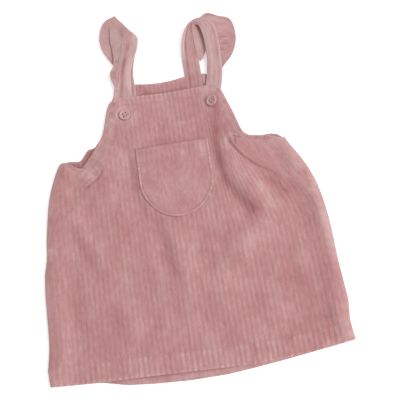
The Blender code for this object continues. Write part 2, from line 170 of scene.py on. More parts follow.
def addAlong(total, x, y, line, reach, shape):  # adds a shape to the points that a line can touch
    spots = np.array(line, float)
    low, high = spots.min(axis=0) - reach, spots.max(axis=0) + reach
    pick = (x > low[0]) & (x < high[0]) & (y > low[1]) & (y < high[1])
    if pick.any():
        total[pick] += shape(*foldPlace(line, x[pick], y[pick]))


def foldRise(x, y, folds):
    total = np.zeros(np.shape(x))
    for _, rise, right, left, line in folds:
        def shape(gap, where):
            slope = np.clip(1.0 - (gap / np.where(gap > 0, right, left)) ** 2, 0.0, 1.0) ** 2
            return rise * slope * ease(where / 0.3) * ease((1.0 - where) / 0.35)
        addAlong(total, x, y, line, max(left, right), shape)
    return total


# Painted light and shade: soft strokes of tone along lines
def lightShadeStrokes(x, y, strokes):
    total = np.zeros(np.shape(x))
    for _, tone, half, line in strokes:
        def shape(gap, where):
            return tone * hump(gap, half) * ease(where / 0.2) * ease((1.0 - where) / 0.2)
        addAlong(total, x, y, line, 2.4 * half, shape)
    return total


def softNoise(seed, x, y, acrossSize, alongSize, waves=7):  # slow seeded ripple, about -1 to 1
    draw = np.random.default_rng(seed)
    total = np.zeros(np.broadcast(x, y).shape)
    for _ in range(waves):
        turn = draw.uniform(-0.6, 0.6)
        across = draw.uniform(0.6, 1.6) / acrossSize
        along = draw.uniform(0.4, 1.6) / alongSize * draw.choice((-1.0, 1.0))
        start = draw.uniform(0, 6.3)
        total = total + np.sin(2 * math.pi * (across * (x + turn * y * 0.1) + along * y) + start)
    return total / math.sqrt(waves)


def lengthAlong(points):
    return np.concatenate([[0], np.cumsum(np.linalg.norm(np.diff(points, axis=0), axis=1))])[:, None]


def evenPoints(points, count):  # the same line in even steps
    points = np.asarray(points, float)
    lengths = lengthAlong(points)[:, 0]
    wanted = np.linspace(0, lengths[-1], count)
    return np.stack([np.interp(wanted, lengths, points[:, n]) for n in range(points.shape[1])], axis=1)


def unit(vectors):
    return vectors / np.maximum(np.linalg.norm(vectors, axis=-1, keepdims=True), 1e-9)


def finePlaces(table, count):  # places along a table, so many from row to row
    last = len(table) - 1
    return np.linspace(0, last, count * last + 1)


def toWorld(points):
    return (np.asarray(points, float) + (*dress["origin"], 0.0)) * mm


# Making meshes

def addObject(name, data):
    made = bpy.data.objects.new(name, data)
    bpy.context.scene.collection.objects.link(made)
    return made


def addMesh(name, points, faces, materials, faceSlots=None, marks=None):
    mesh = bpy.data.meshes.new(name)
    mesh.from_pydata(points.tolist(), [], [tuple(face) for face in faces])
    for made in materials:
        mesh.materials.append(made)
    if faceSlots is not None:
        mesh.polygons.foreach_set("material_index", np.asarray(faceSlots, np.int32))
    for label, values in (marks or {}).items():
        kind, field = ("FLOAT_VECTOR", "vector") if values.shape[1] == 3 else ("FLOAT", "value")
        mesh.attributes.new(label, kind, "POINT").data.foreach_set(field, values.astype(np.float32).ravel())
    mesh.validate()
    mesh.shade_smooth()
    return addObject(name, mesh)


def gridNormals(grid):
    return unit(np.cross(np.gradient(grid, axis=0), np.gradient(grid, axis=1)))


def sideView(field, axis, backwards):  # the same field seen from one of its four sides
    field = np.swapaxes(field, 0, axis)
    return field[::-1] if backwards else field


def insetSides(grid, thick, normals):
    # The border moves in by half the cloth and the cells beside it close up, so that the rounded edge
    # ends where the cut does.
    moved = grid.copy()
    for axis, backwards in ((0, False), (0, True), (1, False), (1, True)):
        lines = sideView(grid, axis, backwards)
        inward = np.cross(np.gradient(lines[0], axis=0), sideView(normals, axis, backwards)[0])
        inward = unit(inward * np.sign(np.sum(inward * (lines[1] - lines[0]))))
        steps = np.diff(lines, axis=0)
        whole = np.linalg.norm(steps, axis=2).sum(axis=0)[:, None]
        gaps = np.cumsum(np.maximum(np.sum(steps * inward, axis=2), 0.0), axis=0)
        gaps = np.concatenate([np.zeros((1, gaps.shape[1])), gaps])[..., None]
        half = 0.5 * sideView(thick, axis, backwards)[0][:, None]
        half = np.maximum(np.minimum(half, 0.3 * whole), 1e-6)
        moving = sideView(moved, axis, backwards)
        moving += inward[None] * half * np.clip(1.0 - gaps / (4.0 * half), 0.0, 1.0)
    return moved


def borderOf(columns, rows):  # border cells in order, each with its inner neighbour
    cells = [(i, 0) for i in range(columns)]
    cells += [(columns - 1, j) for j in range(1, rows)]
    cells += [(i, rows - 1) for i in range(columns - 2, -1, -1)]
    cells += [(0, j) for j in range(rows - 2, 0, -1)]
    border = np.array(cells)
    return border, np.clip(border, 1, [columns - 2, rows - 2])


def skinCells(columns, rows, stride):  # loops of cells: coarse inside, fine along the border
    across = sorted(set(range(0, columns, stride[0])) | {columns - 1})
    along = sorted(set(range(0, rows, stride[1])) | {rows - 1})
    loops = []
    for a, b in zip(across, across[1:]):
        for c, d in zip(along, along[1:]):
            low = [(i, c) for i in (range(a, b) if c == 0 else (a,))]
            right = [(b, j) for j in (range(c, d) if b == columns - 1 else (c,))]
            high = [(i, d) for i in (range(b, a, -1) if d == rows - 1 else (b,))]
            left = [(a, j) for j in (range(d, c, -1) if a == 0 else (d,))]
            loops.append(low + right + high + left)
    return loops


def clothShell(name, grid, thick, materials, marks, relief=0.0, innerRelief=0.0, rim=4, facing=1.0,
               stride=(1, 1)):
    # A closed sheet of cloth with rounded edges. grid is its outer face, columns by rows of plan points,
    # and the inner face is the same one moved in, coarser where stride says so.
    size = columns, rows = grid.shape[:2]
    thick, relief, innerRelief = (np.broadcast_to(np.asarray(value, float), size)
                                  for value in (thick, relief, innerRelief))
    normals = gridNormals(grid) * facing
    border, inner = borderOf(columns, rows)
    edge, beside = tuple(border.T), tuple(inner.T)
    out = unit(np.cross(np.roll(grid[edge], -1, axis=0) - np.roll(grid[edge], 1, axis=0), normals[edge]))
    out *= np.sign(np.sum(out * (grid[edge] - grid[beside])))
    grid = insetSides(grid, thick, normals)
    normals = gridNormals(grid) * facing
    outer = grid + normals * relief[..., None]
    under = grid - normals * (thick + innerRelief)[..., None]
    middle = 0.5 * (outer[edge] + under[edge])
    up = outer[edge] - middle
    reach = np.linalg.norm(up, axis=1, keepdims=True)
    arcs = [middle + up * math.cos(a) + out * reach * math.sin(a)
            for a in (math.pi * (n + 1) / (rim + 1) for n in range(rim))]
    numbers = np.arange(columns * rows).reshape(columns, rows)
    corners = [numbers[:-1, :-1], numbers[1:, :-1], numbers[1:, 1:], numbers[:-1, 1:]]
    faces = np.stack(corners, -1).reshape(-1, 4).tolist()
    outerCount = len(faces)
    loops = skinCells(columns, rows, stride)
    used = sorted({cell for loop in loops for cell in loop})
    first = columns * rows
    skin = {cell: first + n for n, cell in enumerate(used)}
    faces += [[skin[cell] for cell in reversed(loop)] for loop in loops]
    innerEnd = len(faces)
    first += len(used)
    around = len(border)
    rings = [numbers[edge]]
    rings += [first + n * around + np.arange(around) for n in range(rim)]
    rings += [np.array([skin[tuple(cell)] for cell in border])]
    for upper, lower in zip(rings, rings[1:]):
        faces += np.stack([upper, lower, np.roll(lower, -1), np.roll(upper, -1)], -1).tolist()
    if facing < 0:
        faces = [face[::-1] for face in faces]
    slots = np.zeros(len(faces), int)
    if len(materials) > 1:
        slots[outerCount:innerEnd] = 1
    inside = tuple(np.array(used).T)
    points = np.concatenate([outer.reshape(-1, 3), under[inside], *arcs])
    points[:, 2] = np.maximum(points[:, 2], dress["lowest"])
    made = {}
    for label, values in marks.items():
        flat = values if values.ndim == 3 else np.broadcast_to(values, size)[..., None]
        wide = flat.shape[2]
        made[label] = np.concatenate([flat.reshape(-1, wide), flat[inside], *[flat[edge]] * rim])
    return addMesh(name, toWorld(points), faces, materials, slots, made)


def napShadeMarks(groove, shade_and_nap, across, along):  # what the velour group reads: the grooves and the painted light and shade; the last two are on the flat cloth
    across, along = np.broadcast_arrays(across, along)
    weave = np.stack([across, along, 0 * across], axis=2)
    return {"groove": np.asarray(groove, float), "shade_and_nap": shade_and_nap, "weave": weave}


def finishPiece(piece, slot, *nodes):
    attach(piece, "root")
    if nodes:
        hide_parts(*nodes)
    print(piece.name, "made,", len(piece.data.polygons), "faces")


# Materials

def newGroup(name, inputs, outputs):
    group = bpy.data.node_groups.new(name, "ShaderNodeTree")
    for label, kind, value in inputs:
        socket = group.interface.new_socket(name=label, in_out="INPUT", socket_type="NodeSocket" + kind)
        if value is not None:
            socket.default_value = value
    for label, kind in outputs:
        group.interface.new_socket(name=label, in_out="OUTPUT", socket_type="NodeSocket" + kind)
    return group, group.nodes.new("NodeGroupInput"), group.nodes.new("NodeGroupOutput")


def addNode(tree, kind, **values):
    node = tree.nodes.new("ShaderNode" + kind)
    for key, value in values.items():
        setattr(node, key, value)
    return node


def plug(tree, socket, value):  # a link where value is a socket, or else a fixed value
    if hasattr(value, "is_linked"):
        tree.links.new(value, socket)
    else:
        socket.default_value = value


def feed(tree, node, values):  # a node's inputs by name
    for label, value in values.items():
        plug(tree, node.inputs[label], value)


def mixColour(tree, factor, first, second):
    node = addNode(tree, "Mix", data_type="RGBA")
    for number, value in ((0, factor), (6, first), (7, second)):
        plug(tree, node.inputs[number], value)
    return node.outputs[2]


def calculate(tree, operation, *values, clamp=False):
    node = addNode(tree, "Math", operation=operation, use_clamp=clamp)
    for socket, value in zip(node.inputs, values):
        plug(tree, socket, value)
    return node.outputs[0]


def spread(tree, value, low, high, newLow=0.0, newHigh=1.0):
    node = addNode(tree, "MapRange", interpolation_type="SMOOTHSTEP")
    feed(tree, node, {
        "Value": value, "From Min": low, "From Max": high, "To Min": newLow, "To Max": newHigh,
    })
    return node.outputs[0]


def noise(tree, place, stretch, detail=2.0, rough=0.5, scale=1.0):
    size = addNode(tree, "Mapping")
    feed(tree, size, {"Vector": place, "Scale": stretch})
    node = addNode(tree, "TexNoise")
    feed(tree, node, {
        "Vector": size.outputs["Vector"], "Scale": scale, "Detail": detail, "Roughness": rough,
    })
    return node.outputs["Fac"]


def addBump(tree, shader, height, strength, distance):
    bump = addNode(tree, "Bump")
    feed(tree, bump, {"Height": height, "Strength": strength, "Distance": distance})
    tree.links.new(bump.outputs["Normal"], shader.inputs["Normal"])


def makeNapShadeGroup():
    # Velour pile: one tone from dark to light. Broad patches, short streaks on the ribs and single fibres
    # are the cloth's own uneven nap; the Groove mask paints shade into the grooves, and the last mask
    # paints light and shade.
    tree, enter, leave = newGroup("velourNap", (
        ("Pile", "Color", (0.44, 0.22, 0.21, 1)), ("Deep", "Color", (0.30, 0.12, 0.12, 1)),
        ("Light", "Color", (0.58, 0.40, 0.38, 1)), ("Weave", "Vector", None), ("Groove", "Float", 0.0),
        ("Shade_and_nap", "Float", 0.0), ("Groove Strength", "Float", 0.4), ("Streak Strength", "Float", 0.3),
        ("Patch Size", "Float", 26.0), ("Patch Strength", "Float", 0.3),
    ), (("Color", "Color"), ("Height", "Float"), ("Tone", "Float")))
    given = enter.outputs

    def do(operation, *values, clamp=False):
        return calculate(tree, operation, *values, clamp=clamp)

    def fleck(low, high, *shape):  # noise on the flat cloth, spread out between two values
        return spread(tree, noise(tree, given["Weave"], *shape), low, high)

    patchSize = do("DIVIDE", 1.0, given["Patch Size"])
    patch = do("SUBTRACT", fleck(0.32, 0.68, (1, 0.5, 1), 2.0, 0.5, patchSize), 0.5)
    mottle = do("SUBTRACT", fleck(0.3, 0.7, (0.24, 0.13, 1), 2.0, 0.6), 0.5)
    streak = fleck(0.50, 0.74, (0.62, 0.075, 1), 2.0, 0.6)
    dash = fleck(0.56, 0.80, (0.45, 0.10, 1), 1.0, 0.5)
    fibres = noise(tree, given["Weave"], (3.6, 1.3, 1), 3.0, 0.7)
    onRib = do("SUBTRACT", 1.0, given["Groove"], clamp=True)
    tone = do("MULTIPLY", patch, given["Patch Strength"])
    tone = do("MULTIPLY_ADD", mottle, do("MULTIPLY", given["Patch Strength"], 0.7), tone)
    tone = do("ADD", tone, given["Shade_and_nap"])
    tone = do("ADD", tone, do("MULTIPLY", do("MULTIPLY", streak, onRib), given["Streak Strength"]))
    tone = do("SUBTRACT", tone, do("MULTIPLY", dash, do("MULTIPLY", given["Streak Strength"], 0.6)))
    tone = do("SUBTRACT", tone, do("MULTIPLY", given["Groove"], given["Groove Strength"]))
    tone = do("MULTIPLY_ADD", do("SUBTRACT", fibres, 0.5), 0.35, tone)
    colour = mixColour(tree, do("MULTIPLY", tone, 1.0, clamp=True), given["Pile"], given["Light"])
    colour = mixColour(tree, do("MULTIPLY", tone, -1.0, clamp=True), colour, given["Deep"])
    height = do("MULTIPLY_ADD", streak, 0.35, do("MULTIPLY", fibres, 0.65))
    feed(tree, leave, {"Color": colour, "Height": height, "Tone": tone})
    return tree


def newMaterial(name):
    made = bpy.data.materials.new(name)
    made.use_nodes = True
    tree = made.node_tree
    return made, tree, tree.nodes["Principled BSDF"]


def makeVelour(name, shading, look):
    made, tree, shader = newMaterial(name)
    pile = addNode(tree, "Group", node_tree=shading)
    feed(tree, pile, {label: (*look[label], 1.0) for label in ("Pile", "Deep", "Light")})
    for label in ("Groove Strength", "Streak Strength", "Patch Size", "Patch Strength"):
        pile.inputs[label].default_value = look[label]
    for label, output in (("Weave", "Vector"), ("Groove", "Fac"), ("Shade_and_nap", "Fac")):
        mark = addNode(tree, "Attribute", attribute_name=label.lower())
        tree.links.new(mark.outputs[output], pile.inputs[label])
    addBump(tree, shader, pile.outputs["Height"], look["bump"], 0.0004)
    rough = spread(tree, pile.outputs["Tone"], -0.5, 0.5, look["rough"] + 0.04, look["rough"] - 0.06)
    feed(tree, shader, {
        "Base Color": pile.outputs["Color"], "Roughness": rough,
        "Sheen Weight": look["sheen"], "Sheen Roughness": 0.45, "Sheen Tint": (*look["sheenTint"], 1.0),
        "Specular IOR Level": 0.15,
    })
    return made


velour = {
    "Pile": (0.402, 0.205, 0.204), "Deep": (0.270, 0.090, 0.097), "Light": (0.540, 0.385, 0.372),
    "Groove Strength": 0.28, "Streak Strength": 0.27, "Patch Size": 26.0, "Patch Strength": 0.34,
    "rough": 0.88, "bump": 0.6, "sheen": 0.6, "sheenTint": (0.92, 0.86, 0.83),
}
smoothVelour = velour | {
    "Pile": (0.405, 0.226, 0.224), "Streak Strength": 0.08, "Patch Size": 16.0, "Patch Strength": 0.24,
    "sheen": 0.8,
}
# The straps' rib velour as a lighter copy, painted for the stronger light and sheen the straps catch
strapVelourLit = smoothVelour | {
    "Pile": (0.436, 0.272, 0.270), "Deep": (0.34, 0.135, 0.142), "Groove Strength": 0.55,
    "Streak Strength": 0.16, "Patch Size": 12.0,
}
reverseSide = velour | {
    "Pile": (0.430, 0.210, 0.212), "Deep": (0.33, 0.13, 0.14), "Patch Strength": 0.2, "bump": 0.8,
    "sheen": 0.25,
}

napShadeGroup = makeNapShadeGroup()
ribMaterial = makeVelour("ribVelour", napShadeGroup, velour)
smoothMaterial = makeVelour("smoothVelour", napShadeGroup, smoothVelour)
strapMaterialLit = makeVelour("strapVelourLit", napShadeGroup, strapVelourLit)
reverseMaterial = makeVelour("velourReverse", napShadeGroup, reverseSide)
print("materials made")


# The front: outer height without ribs

flap = {  # the cloth from under the right arm, folded over the front along a crease
    "line": ((66, 35), (68, 28), (70, 22), (74.5, 14), (78.6, 7.2), (82.4, 2.4), (87, -2.2), (91, -6),
             (95, -9.6), (99.8, -12.8), (104.6, -15.6), (109.4, -18.8), (114, -23.6), (117, -31),
             (118.6, -42)),
    "step": 2.1, "edge": 2, "foot": 0.2, "level": 8, "reach": 46,
}
front = {
    "height": ((-224, 6.4), (-200, 6.2), (-150, 5.6), (-90, 6.4), (-40, 6.6), (20, 6.2), (60, 5.8),
               (110, 5.6)),
    "roll": 9, "rim": 3.2, "rimReach": 30,
    "flatClear": 3.9, "hemClear": 6.3,  # the least height, over the plain back and over its hem
    "strapEnds": ((-49.5, 62, -48.5, 110), (51, 60, 66, 112)),
    "strapEndHeight": 7.1, "strapEndHalf": 10, "strapEndFade": 24,
    "waver": 0.35,
    "bib": (-1, 68, 80),  # its middle and half width, and the height from which it counts
    # stretches of columns as from, to and step (None is where a rounded side ends), and of rows as the
    # share of the way up where they end and step
    "columns": ((None, -58, 0.67), (-58, 56, 0.933), (56, None, 0.65)),
    "rows": ((0.006, 0.002), (0.09, 0.0042), (0.40, 0.0065), (0.99, 0.0048), (1.0, 0.0025)),
}
# Folds: rise (a trough is negative), reach to the right and to the left of its line, line from the top
frontFolds = (
    ("trough beside the pocket", -1.7, 9, 11,
     ((54, 52), (51, 36), (49.5, 16), (50, -6), (54, -24), (63, -42), (74, -58), (84, -70))),
    ("ridge below the underarm", 4, 34, 20,
     ((63, 44), (64, 20), (67, -4), (74, -22), (84, -42), (95, -60), (103, -78))),
    ("soft limb back from its end", 1.7, 18, 24,
     ((112, -62), (98, -78), (78, -92), (58, -106), (40, -124), (28, -150), (24, -170))),
    ("hollow under the flap", -1.3, 8, 10, ((88, -14), (102, -28), (115, -44), (122, -66))),
    ("pleat under the flap", 0.6, 4, 4, ((97, -14), (106, -36), (112, -58))),
    ("second pleat under the flap", 0.6, 3.5, 4, ((106, -20), (115, -42), (121, -64))),
    ("soft dip on the flap", -0.7, 3.5, 3.5, ((93, 22), (96, 17), (99, 10), (101, 5))),
    ("second dip on the flap", -0.7, 3.5, 3.5, ((102, 13), (105, 8), (108, 2), (111, -4))),
    ("right of the bib", 2, 22, 16, ((60, 100), (61, 78), (66, 48))),
    ("left slanting ridge", 2.2, 20, 15,
     ((-134, -12), (-126, -28), (-116, -47), (-107, -66), (-97, -86), (-86, -106), (-72, -134))),
    ("left inner ridge", 1.4, 20, 14, ((-96, 14), (-90, -6), (-85, -30), (-76, -62), (-64, -96))),
    ("left of the pocket", -1.1, 6, 8, ((-52, 44), (-51, 10), (-48, -24), (-40, -50))),
    ("ridge under the pocket", 2.3, 22, 15,
     ((-18, -46), (-13, -66), (-9, -88), (-4, -110), (-2, -132), (-2, -160))),
    ("small dip right of that ridge", -0.9, 8, 8, ((24, -92), (26, -108), (24, -124))),
    ("long soft dip on the left", -0.6, 12, 12, ((-52, -80), (-46, -120), (-42, -165))),
    ("long soft ridge on the right", 0.7, 16, 16, ((96, -110), (92, -145), (90, -190))),
    ("hollow inside the right rim", -1, 9, 9, ((140, -24), (144, -60), (147, -110), (146, -170))),
    ("dip in the lower right corner", -0.9, 8, 10, ((134, -170), (139, -192), (140, -214))),
    ("crease across the bib", 0.5, 2.5, 2.5, ((-2, 59), (20, 60.5), (43, 61.5))),
    ("dip above the pocket", -0.8, 5, 7, ((-66, 43), (-20, 41), (20, 42), (54, 44))),
    ("dip left of the bib", -0.7, 8, 8, ((-72, 52), (-62, 42), (-50, 34))),
    ("pucker 1 at the pinch", 0.8, 2.6, 2.6, ((68, 38), (74, 34), (81, 33))),
    ("pucker 2 at the pinch", -0.6, 2, 2, ((72, 32), (77, 31), (84, 27.5))),
    ("pucker 3 at the pinch", -0.5, 2.2, 2.2, ((75, 30), (75.6, 24), (76, 17))),
    ("pucker 4 at the pinch", 0.9, 2.6, 2.4, ((71, 36), (72, 28), (73, 21))),
    ("pucker 5 at the pinch", -0.8, 2.2, 2.4, ((67, 48), (65.5, 42), (64, 34))),
    ("pucker 6 at the pinch", 0.8, 2.4, 2.6, ((62, 40), (62.5, 30), (66, 14))),
    ("pull left of the left button", 0.5, 2.2, 2.2, ((-66, 84), (-60, 83), (-56, 82))),
    ("pull under the left button", -0.5, 2.4, 2.4, ((-66, 78), (-60, 77), (-55, 76))),
)
# Painted light and shade, mostly where folds, creases, edges and gaps catch light or fall in shade: tone,
# half width, line
frontLightShade = (
    ("deep in the trough", -0.34, 6, ((54, 52), (54.5, 38), (54, 20), (54.5, 4), (57, -12))),
    ("trough's right wall", -0.42, 7.5, ((54, -8), (60, -26), (69, -44), (78.5, -57), (87, -67))),
    ("end of the trough", -0.16, 6, ((78, -56), (86, -62), (91, -67))),
    ("shade right of the bib", -0.26, 9, ((64, 86), (62, 70), (59, 54), (57, 36))),
    ("grey over the right strap", 0.34, 6, ((42, 97), (54, 97.5), (64, 93), (70, 84))),
    ("deepest there", -0.20, 6, ((52, 70), (56, 50), (58, 32))),
    ("crest beside the trough", 0.14, 5, ((62, 34), (64, 16), (67, 0), (74, -14))),
    ("broad light crest", 0.15, 11, ((74, -10), (85, -24), (94, -38), (99, -52), (101, -70))),
    ("its brightest spots", 0.20, 6, ((86, -30), (94, -38), (101, -48), (107, -58), (109, -68))),
    ("shade right of the crest", -0.24, 8, ((122, -38), (129, -52), (131, -64), (127, -82))),
    ("light on the right rim", 0.46, 5, ((146, -32), (151, -50), (155, -70), (157.5, -95), (158, -120),
                                         (157, -152))),
    ("light along the flap's edge", 0.46, 8, ((112, 24), (121, 19), (129, 9), (135.5, -3),
                                              (139.5, -14), (144, -28))),
    ("dark streak beside it", -0.30, 2.6, ((146, -22), (147.6, -34), (150, -50))),
    ("grey at the hem's right corner", 0.20, 5, ((149, -194), (155, -204), (158, -216))),
    ("shade at the hem's right", -0.34, 7, ((90, -216), (95, -206), (100, -196), (104, -186))),
    ("second shade at the hem's right", -0.32, 5, ((136, -186), (134.6, -198), (131, -214))),
    ("shade in the hem's middle", -0.30, 6, ((50, -213), (60, -212.5), (72, -212))),
    ("grey along the hem", 0.10, 7, ((20, -211), (50, -215), (80, -214), (100, -210))),
    ("grey on the bib", 0.14, 20, ((-46, 90), (0, 86), (40, 82))),
    ("light limb going back", 0.18, 10, ((98, -72), (84, -84), (66, -95), (48, -104))),
    ("shade above that limb", -0.16, 9, ((84, -70), (66, -80), (50, -88), (36, -92))),
    ("shade under the flap's end", -0.20, 8, ((106, -24), (114, -31), (121, -40), (124, -52))),
    ("light on the flap's top", 0.10, 10, ((76, 28), (90, 24), (104, 18), (118, 8))),
    ("centre valley", -0.22, 7, ((-32, -42), (-27, -56), (-23, -76), (-19, -100), (-15, -130))),
    ("centre crest", 0.26, 9, ((-13, -54), (-10, -76), (-8, -100), (-2, -128), (2, -158))),
    ("spot right of it", -0.16, 8, ((22, -94), (27, -106), (24, -122))),
    ("left valley", -0.20, 7, ((-126, -42), (-118, -60), (-110, -78), (-100, -98))),
    ("left slanting light", 0.18, 7, ((-122, -26), (-110, -52), (-97, -76), (-84, -104))),
    ("light beside the pocket's top", 0.24, 14, ((-84, 26), (-68, 34), (-50, 38))),
    ("light left of the pocket", 0.14, 9, ((-76, -2), (-72, -16), (-68, -30))),
    ("dark left of that", -0.14, 8, ((-92, 6), (-84, -2), (-88, -18))),
    ("dark down the pocket's left", -0.20, 5, ((-47, 30), (-46, 6), (-43, -22), (-33, -46))),
    ("light round its corner", 0.40, 4.5, ((-44, -16), (-40, -27), (-34, -35), (-27, -44))),
    ("pale round the left button", 0.26, 15, ((-60, 96), (-50, 86), (-50, 68))),
    ("zone above the pocket", -0.16, 4.5, ((-40, 41), (0, 39.5), (42, 40))),
    ("line over the pocket's mouth", -0.35, 1.2, ((-41, 35.6), (0, 35.6), (43, 35.6))),
    ("light line over the bib", 0.15, 2.4, ((0, 59), (20, 60), (44, 61))),
    ("underarm corner on the left", -0.30, 6, ((-134, 26), (-127, 14), (-120, -2))),
    ("light on the left side", 0.22, 8, ((-144, 4), (-147, -20), (-151, -50), (-154, -90))),
    ("dim part of it", -0.38, 7, ((-145, -30), (-147, -44), (-149, -58), (-150, -72))),
    ("inside the right rim", -0.26, 6, ((130, -30), (137, -50), (143, -84), (144, -130), (142, -180))),
    ("lower right corner", -0.20, 9, ((134, -180), (138, -198), (140, -216))),
    ("lower left field", -0.08, 34, ((-96, -120), (-92, -170))),
    ("lower right field", -0.17, 26, ((112, -130), (122, -170), (134, -196))),
    ("under the crease", -0.20, 8, ((84, -14), (98, -27), (109, -42), (114, -56))),
    ("right of the left button", 0.22, 8, ((-40, 84), (-37, 74), (-38, 62))),
    ("beside the centre ridge", 0.22, 7, ((12, -70), (13, -84), (12, -98))),
    ("low on the right of it", -0.22, 9, ((48, -112), (60, -121), (64, -138))),
    ("left field, first shade", -0.20, 7, ((-96, -48), (-98, -61), (-97, -76))),
    ("left field, second shade", -0.20, 11, ((-106, -110), (-92, -117), (-82, -126))),
    ("left field, third shade", -0.20, 6, ((-75, -154), (-76.5, -170), (-77, -188))),
    ("shade left of the pinch", -0.36, 3.6, ((68, 52), (67, 44), (66.4, 36), (66, 30))),
    ("light right of the pinch", 0.36, 4, ((79, 52), (81, 44), (81.8, 38), (82, 32))),
    ("pale pinch above", 0.60, 3.4, ((76, 37), (80, 34), (84, 32))),
    ("pale pinch below", 0.50, 3.2, ((70, 38), (71, 34), (70, 30))),
    ("dark in the pinch", -0.60, 1.5, ((75, 33), (78, 30.5), (84, 28))),
    ("dark down the pinch", -0.50, 1.5, ((76, 30), (75.6, 24), (76, 19))),
    ("light streaks at the pinch", 0.30, 1.8, ((65, 30), (64, 24), (65, 14))),
    ("light streak beside them", 0.25, 1.6, ((60, 34), (59, 26), (60, 16))),
    ("shadow under the band's tip", -0.50, 1.7, ((-83, 19), (-84.4, 12), (-87.4, 6.6), (-94, 2.2),
                                                 (-101, -2.2), (-108, -7))),
    ("speck on the bib", 0.5, 1.3, ((-7, 64.2), (-5, 64.2))),
)
# Where the ribs lie flatter: centre, half sizes, how much of them is lost
ribFades = (
    (-52, 84, 22, 26, 0.7), (-66, 34, 24, 16, 0.5), (86, 22, 24, 16, 0.75), (78, 34, 14, 12, 0.5),
    (86, -34, 12, 16, 0.3), (108, 4, 26, 22, 0.65), (-148, -24, 12, 54, 0.6), (142, -30, 12, 40, 0.5),
    (54, 96, 18, 12, 0.7),
)


def sideTurn(x, y, roll):  # 0 on the side seams, 1 where their rounding ends
    inside = np.clip(sideGap(x, y), 0.0, roll)
    return np.sqrt(1.0 - (1.0 - inside / roll) ** 2)


def frontForm(x, y):
    look = front
    height = readTable(look["height"], y)
    height = height + look["rim"] * fade(sideGap(x, y), look["roll"], look["rimReach"] - look["roll"])
    height = height + foldRise(x, y, frontFolds)
    gap, where = foldPlace(flap["line"], x, y)
    step = ease(gap / flap["edge"]) * fade(gap, flap["level"], flap["reach"])
    step = step * ease(where / 0.12) * fade(where, 0.6, 0.4)
    foot = hump(gap + 0.6, 1.2) * ease(where / 0.1) * fade(where, 0.8, 0.2)
    height = height + flap["step"] * step - flap["foot"] * foot
    for x0, y0, x1, y1 in look["strapEnds"]:
        line = ((x0, y0), (0.5 * (x0 + x1), 0.5 * (y0 + y1)), (x1, y1))
        cover = fade(np.abs(foldPlace(line, x, y)[0]), look["strapEndHalf"], look["strapEndFade"])
        height = height + np.maximum(look["strapEndHeight"] - height, 0.0) * cover
    height = height + look["waver"] * softNoise(seeds["frontForm"], x, y, 46.0, 120.0)
    overHem = y - readTable(outline["frontHem"], x)
    onHem = fade(overHem, dress["hemDepth"], 10.0)
    return np.maximum(height, look["flatClear"] + (look["hemClear"] - look["flatClear"]) * onHem)


def frontOuter(x, y):
    seam = dress["seamHeight"] + dress["seamHalfGap"]
    return seam + (frontForm(x, y) - seam) * sideTurn(x, y, front["roll"])


def restingHeight(x, y, reach=4.0):  # what lies on the front bridges its small hollows
    heights = [frontOuter(x + dx, y + dy) for dx in (-reach, 0, reach) for dy in (-reach, 0, reach)]
    return 0.5 * np.max(heights, axis=0) + 0.5 * np.mean(heights, axis=0)


# The ribs: how far across the cut a point of the cloth is, and how high the rib stands there

ribs = {
    "rise": 0.27, "hemRise": 0.36,
    "leanRight": 30.0,  # how far the ribs slide over the ridge below the right underarm
    "flapTurn": 15.0,  # and how far they turn on the flap
    "variation": 0.35,
    "knots": (160, 60),  # how uneven each rib is, every so far along it
    "knotStep": 9.0, "firstKnot": -240.0,
}
ribUneven = np.random.default_rng(seeds["ribs"]).uniform(-1, 1, ribs["knots"])


def ribAcross(x, y, roll, onFront):
    turned = np.clip(roll - sideGap(x, y), 0.0, roll) / roll
    across = x + np.sign(x) * roll * (np.arcsin(turned) * 0.9 - turned)  # a rounded side is longer
    if not onFront:
        return across
    lean = ribs["leanRight"] * ease(x, 40.0, 45.0) * ease(y, -85.0, 115.0)
    gap, where = foldPlace(flap["line"], x, y)
    turn = ribs["flapTurn"] * ease(gap / 45.0) * ease(where / 0.2)
    return across + lean + turn * fade(where, 0.8, 0.2)


def ribHeight(across, y):  # 1 on a crest and 0 in a groove, and how uneven it is
    phase = across / dress["ribPitch"]
    count, knots = ribs["knots"]
    number = np.clip(np.floor(phase).astype(int) + count // 2, 0, count - 1)
    knot = np.clip((y - ribs["firstKnot"]) / ribs["knotStep"], 0, knots - 1.1)
    low = knot.astype(int)
    share = ease(knot - low)
    uneven = ribUneven[number, low] * (1 - share) + ribUneven[number, low + 1] * share
    return np.abs(np.sin(math.pi * phase)) ** 0.8, uneven


# A panel's columns are fine enough to carry the ribs, and its rows bunch where folds and stitches are

def inSteps(start, end, step):
    count = int(round((end - start) / step))
    return [start + (end - start) * (n + 1) / count for n in range(count)]


def panelColumns(top, roll, stretches):
    left, right = top[0][0], top[-1][0]
    angles = np.radians(np.linspace(0, 90, 9))
    places = list(left + roll * (1 - np.cos(angles)))
    for low, high, step in stretches:
        places += inSteps(left + roll if low is None else low, right - roll if high is None else high, step)
    return np.array(places + list(right - roll * (1 - np.cos(angles[::-1][1:]))))


def panelGrid(side, columnTops, shares, outer):
    yTop = edgeY(side + "Top", columnTops)
    gaps = columnTops - columnTops[0], columnTops[-1] - columnTops
    left, right = (fade(gap, 0, slant) for gap, slant in zip(gaps, dress["slant"]))
    fitted = columnTops
    for column, end, gap in ((1, 0, gaps[0]), (2, -1, gaps[1])):
        fitted = fitted - (columnTops[end] - seamX(yTop[end], column)) * fade(gap, 0, dress["fit"])

    def columnX(y):
        x = fitted + left * (seamX(y, 1) - seamX(yTop, 1))
        return x + right * (seamX(y, 2) - seamX(yTop, 2))

    yHem = edgeY(side + "Hem", columnX(np.full_like(columnTops, outline["sides"][0][0])))
    y = np.stack([yHem + (yTop - yHem) * share for share in shares], axis=1)
    x = np.stack([columnX(y[:, n]) for n in range(len(shares))], axis=1)
    return np.stack([x, y, outer(x, y)], axis=2)


